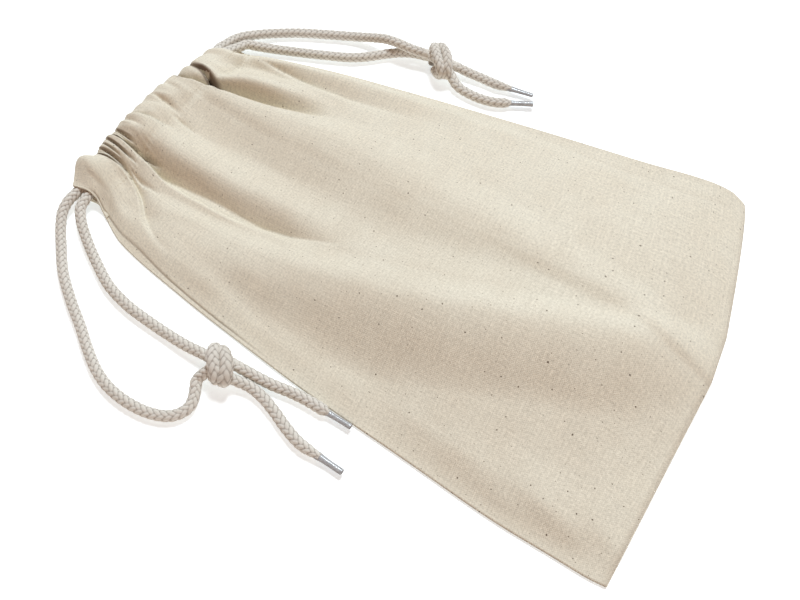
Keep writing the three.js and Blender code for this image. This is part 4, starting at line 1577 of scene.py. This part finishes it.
@dataclass
class TiedCord:
    """The cord at one side: two strands out of the hem, the knot that ties them, two tails and their tips."""

    side: str
    strands: tuple[Strand, Strand]
    place: KnotPlace
    yarn: bpy.types.Material
    film: bpy.types.Material
    braid: Braid = Braid()

    # Hidden lengths: in the hem, the straight share of it, in the knot, and of a tail in the knot
    in_hem: float = 12.0
    straight_share: float = 0.4
    in_knot: float = 4.0
    tail_in_knot: float = 6.0

    # The two cords inside the knot, the turn of a wrap in degrees, and the braid in the tip
    apart: float = 2.4
    cord_lift: float = 1.2
    wrap_turn: Span = (-75.0, 255.0)
    wrap_points: int = 25
    tip_fit: float = 0.92
    tip_round: float = 0.8

    # Where along the plait the tails, the knot's cords and its wraps start, in metres
    tail_start: float = 0.04
    cord_start: float = 0.1
    wrap_start: float = 0.2
    wrap_shift: float = 0.013
    waypoint_step: float = 0.003
    least_waypoints: int = 15
    knot: Piece | None = None
    pieces: dict[str, Piece] = field(default_factory=dict)
    lines: dict[str, Array] = field(default_factory=dict)

    def build(self) -> None:
        """Make the strands, the tails with their tips, and the knot."""
        for number, strand in enumerate(self.strands):
            self._build_strand(strand)
            self._build_tail(number, strand)
        self._build_knot()

    def _add_braid(self, key: str, line: Array, radius: Array | None = None, start: float = 0.0) -> None:
        """Make one braided piece and keep it with its line.

        Args:
            key: The piece's name at this side.
            line: Its middle.
            radius: Its outer radius along the line, the cord's own if none.
            start: Where along the plait it starts.
        """
        parts = MeshParts()
        self.braid.add_tube(parts, line, radius, start)
        self.pieces[key] = parts.make(f"{self.side}_{key}_braid")
        self.lines[key] = line
        log.info("%s: %.0f mm long", self.pieces[key].name, run_along(line)[-1] / MM)

    def _build_strand(self, strand: Strand) -> None:
        """Make one strand, from inside the hem into the knot.

        Args:
            strand: Its routes.
        """
        route, _ = strand.routes()
        inmost = past_end(route[::-1], self.in_hem * MM)
        inmost[1] -= strand.sink * MM
        straight = past_end(route[::-1], self.in_hem * self.straight_share * MM)
        hidden = past_end(route, self.in_knot * MM)
        self._add_braid(strand.name, smooth_line([inmost, straight, *route, hidden], self.braid.step))

    def _build_tail(self, number: int, strand: Strand) -> None:
        """Make one tail, from inside the knot to its tip, and the tip.

        Args:
            number: Which of the two cords it is.
            strand: Its routes.
        """
        shape = TIP_SHAPES[f"{self.side}_{strand.tail}"]
        before, past = (length * MM for length in shape.end.value)
        _, route = strand.routes()
        heading = unit((route[-1] - route[-2]) * (1.0, 1.0, 0.0))
        hidden = past_end(route[::-1], self.tail_in_knot * MM)
        line = smooth_line([hidden, *route, route[-1] + heading * past], self.braid.step)
        run = run_along(line)
        narrow = shape.profile[1][1] * MM * self.tip_fit
        share = ease(0.0, before + past, run[-1] - run) ** self.tip_round
        radius = narrow + (self.braid.diameter / 2 - narrow) * share
        self._add_braid(f"tail_{strand.tail}", line, radius, self.tail_start * (number + 1))
        tip = CordTip(f"{self.side}_tip_{strand.tail}_film", shape, route[-1], heading)
        tip.build()
        self.pieces[f"tip_{strand.tail}"] = tip.piece

    def _build_knot(self) -> None:
        """Make the knot: two cords through it and a wrap of each round both."""
        place = self.place
        turn = math.radians(place.heading)
        axis = np.array([math.cos(turn), math.sin(turn), 0.0])
        across = np.array([-axis[1], axis[0], 0.0])
        centre = np.array([*place.centre, place.height])
        parts = MeshParts()
        for number, (strand, way) in enumerate(zip(self.strands, (-1, 1))):
            route, tail = strand.routes()
            middle = centre + across * way * self.apart + UP * self.cord_lift
            inward, outward = past_end(route, self.in_knot * MM), past_end(tail[::-1], self.in_knot * MM)
            line = smooth_line([route[-1], inward, middle * MM, outward, tail[0]], self.braid.step)
            self.braid.add_tube(parts, line, start=self.cord_start * number)
        angle = np.radians(np.linspace(*self.wrap_turn, self.wrap_points))[:, None]
        cosine, sine = np.cos(angle), np.sin(angle)
        for way in (-1, 1):
            offset = way * place.pitch / 2 * (1 - place.pinch * cosine**2)
            shift = axis * (offset + place.lean * sine + place.skew * cosine)
            wrap = centre + shift + across * place.across * cosine + UP * place.up * sine
            line = smooth_line(wrap * MM, self.braid.step)
            radius = np.full(len(line), place.wrap_radius * MM)
            self.braid.add_tube(parts, line, radius, self.wrap_start + self.wrap_shift * way)
        self.knot = parts.make(f"{self.side}_knot_braid")

    def dress(self) -> None:
        dress_piece(self.knot, self.yarn, f"{self.side}_knot")
        for strand in self.strands:
            route, tail_route = strand.routes()
            tail, tip = f"tail_{strand.tail}", f"tip_{strand.tail}"
            dress_piece(self.pieces[tip], self.film, f"{self.side}_{tip}")
            for key, node, start, far_end, held in (
                (strand.name, f"strand_{strand.name}", route[0], "knot", self.knot),
                (tail, tail, tail_route[0], "fitting", self.pieces[tip]),
            ):
                piece, line = self.pieces[key], self.lines[key]
                dress_piece(piece, self.yarn, f"{self.side}_{node}")


NEAR_STRANDS: tuple[Strand, Strand] = (
    Strand(
        "outer",
        ((-40.4, 164.6, 7.2), (-46.5, 165.9, 6.7), (-53.5, 165.2, 5.6), (-61, 161.5, 4.2), (-69, 156, 3.2),
         (-83, 145, 3.1), (-95.5, 131.5, 3.1), (-105.5, 119, 3.1), (-115, 108, 3.1), (-122.5, 98, 3.1),
         (-127.5, 88, 3.1), (-130.5, 75, 3.1), (-130.5, 61.5, 3.1), (-127, 51.8, 3.1), (-120.5, 47.4, 3.1),
         (-114.5, 48, 3.2), (-110.5, 49.5, 3.7)),
        "b",
        ((-99.2, 34.5, 4.8), (-98.8, 26.5, 3.6), (-101, 18, 3.1), (-105, 9.5, 3.1), (-110, 0.5, 3.1),
         (-114, -9, 3.1), (-115.7, -19, 3.1))),
    Strand(
        "inner",
        ((-40, 158.5, 6.6), (-46.8, 158.1, 6), (-53, 154, 4.9), (-61.5, 145, 3.6), (-71.5, 132, 3.1),
         (-80, 119, 3.1), (-85.5, 105, 3.1), (-88.7, 91, 3.1), (-91.3, 76, 3.2), (-93, 65, 4.2),
         (-93.8, 55, 5.6)),
        "a",
        ((-92.8, 34, 5.6), (-93, 27, 4.4), (-93.2, 18, 3.3), (-92.8, 8, 3.1), (-93.2, -2, 3.1),
         (-94.6, -12.5, 3.1))),
)

FAR_STRANDS: tuple[Strand, Strand] = (
    Strand(
        "upper",
        ((85.9, 147.4, 7.3), (91, 145.6, 6.8), (96.4, 142.8, 5.8), (103.4, 136.2, 4.2), (109.8, 127.4, 3.2),
         (116.2, 114.8, 3.1), (121.5, 101, 3.1), (126.5, 86, 3.4), (128.6, 74, 5.6), (128.5, 63.5, 9),
         (127.6, 54.5, 10.2), (127.5, 46, 9.4), (128.2, 39, 8.8)),
        "b",
        ((122.6, 19, 4.6), (117.8, 12.6, 3.4), (115.6, 4.5, 3.1), (115, -4, 3.1), (116, -11.5, 3.1),
         (118.8, -18.5, 3.1)),
        sink=4.5),
    Strand(
        "lower",
        ((89.3, 139.3, 5.9), (92.8, 137.4, 5.2), (95.2, 131.4, 4.2), (98.4, 121.6, 3.2), (102.8, 106, 3.1),
         (107.6, 90, 3.1), (112, 77.5, 3.1), (117.2, 68.5, 3.1), (122.8, 61, 3.1), (127.6, 53.5, 3.1),
         (130.4, 46.5, 3.1), (131.4, 39.5, 3.2)),
        "a",
        ((129.6, 18, 5.2), (129.6, 10, 3.9), (129.4, 1, 3.2), (128.8, -7.5, 3.1), (129.2, -15, 3.1))),
)

NEAR_KNOT = KnotPlace(
    centre=(-96.7, 43.6), heading=-86, lean=1.0, skew=-3.6, pinch=0.45, across=6.6, pitch=6.9, height=8.5,
    wrap_radius=3.6)
FAR_KNOT = KnotPlace(
    centre=(127.3, 28.0), heading=-66, lean=0.6, skew=-2.0, pinch=0.5, across=9.4, pitch=5.6, wrap_radius=3.2)


# Studio


@dataclass(frozen=True)
class SoftLight:
    """Square light that looks at the bag."""

    name: str
    place: Point
    watts: float
    size: float
    colour: Point

    def hang(self) -> None:
        """Hang the light in its place."""
        data = bpy.data.lights.new(self.name, "AREA")
        data.energy, data.size, data.color = self.watts, self.size, self.colour
        lamp = bpy.data.objects.new(self.name, data)
        bpy.context.collection.objects.link(lamp)
        lamp.location = self.place
        lamp.rotation_euler = (-Vector(self.place)).to_track_quat("-Z", "Y").to_euler()


@dataclass(frozen=True)
class Studio:
    """Pale floor, soft light and the camera, in metres."""

    eye: Point = (-0.24776, -0.12324, 0.4305)
    ahead: Point = (0.45222, 0.21331, -0.86603)
    right: Point = (0.42662, -0.90443, 0.0)
    lens: float = 44.145
    sensor: float = 36.0
    key: SoftLight = SoftLight("soft_key", (1.60, 0.18, 2.77), 94.0, 1.0, (0.88, 1.01, 1.09))
    fill: SoftLight = SoftLight("weak_fill", (-1.75, -0.90, 0.80), 5.0, 1.2, (1.0, 0.76, 0.60))
    sky: float = 0.25
    sky_colour: Colour = (1.10, 0.70, 0.50, 1.0)
    wall_colour: Colour = (0.90, 0.89, 0.88, 1.0)
    floor_size: float = 8.0
    floor_tones: tuple[Colour, Colour] = ((0.95, 0.95, 0.95, 1.0), (0.97, 0.97, 0.97, 1.0))
    floor_clouds_per_metre: float = 3.0
    floor_spread: Spread = (0.3, 0.7, 0.0, 1.0)
    floor_glow: float = 0.50
    floor_colour: Colour = (0.85, 0.955, 1.0, 1.0)

    def aim_camera(self) -> None:
        """Place the camera."""
        data = bpy.data.cameras.new("camera")
        data.lens, data.sensor_width, data.sensor_fit = self.lens, self.sensor, "HORIZONTAL"
        camera = bpy.data.objects.new("camera", data)
        bpy.context.collection.objects.link(camera)
        right, ahead = Vector(self.right).normalized(), Vector(self.ahead).normalized()
        turn = Matrix((right, right.cross(ahead), -ahead)).transposed().to_4x4()
        camera.matrix_world = Matrix.Translation(self.eye) @ turn
        bpy.context.scene.camera = camera

    def lay_floor(self) -> None:
        """Lay the pale floor."""
        deselect_all()
        bpy.ops.mesh.primitive_plane_add(size=self.floor_size, location=(0, 0, 0))
        floor = bpy.context.object
        floor.name = "studio_floor"
        material, graph, shader = new_material("studio_paper")
        clouds = graph.noise(graph.place(), self.floor_clouds_per_metre)
        graph.feed(shader, {
            "Base Color": graph.blend(graph.spread(clouds, *self.floor_spread), *self.floor_tones),
            "Roughness": 1.0, "Specular IOR Level": 0.0,
            "Emission Color": self.floor_colour, "Emission Strength": self.floor_glow})
        floor.data.materials.append(material)

    def light(self) -> None:
        """Hang the soft key and the weak fill in a pale room."""
        self.key.hang()
        self.fill.hang()
        world = bpy.data.worlds.new("pale_room")
        world.use_nodes = True
        world.node_tree.nodes.clear()
        graph = NodeGraph(world.node_tree)
        glow = graph.add("ShaderNodeBackground", {"Color": self.sky_colour, "Strength": self.sky})
        wall = graph.add("ShaderNodeBackground", {"Color": self.wall_colour, "Strength": 1.0})
        seen = graph.add("ShaderNodeLightPath", {})["Is Camera Ray"]
        room = graph.add("ShaderNodeMixShader", {0: seen, 1: glow[0], 2: wall[0]})
        graph.add("ShaderNodeOutputWorld", {"Surface": room[0]})
        bpy.context.scene.world = world
        bpy.context.scene.view_settings.view_transform = "Standard"


def main() -> None:
    """Build the bag in order: camera, cords, cloth, stitches, floor and light."""
    logging.basicConfig(level=logging.INFO, format="%(name)s %(message)s", stream=sys.stdout)
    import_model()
    studio = Studio()
    studio.aim_camera()

    yarn, film = BraidedCotton().material(), CrimpedFilm().material()
    near = TiedCord("near", NEAR_STRANDS, NEAR_KNOT, yarn, film)
    far = TiedCord("far", FAR_STRANDS, FAR_KNOT, yarn, film)
    cloth, stitches = BagCloth(), HemStitches()
    for assembly in (near, far, cloth, stitches):
        assembly.build()
        assembly.dress()

    studio.lay_floor()
    studio.light()
    deselect_all()
    log.info("bag dressed")


if __name__ == "__main__":
    main()
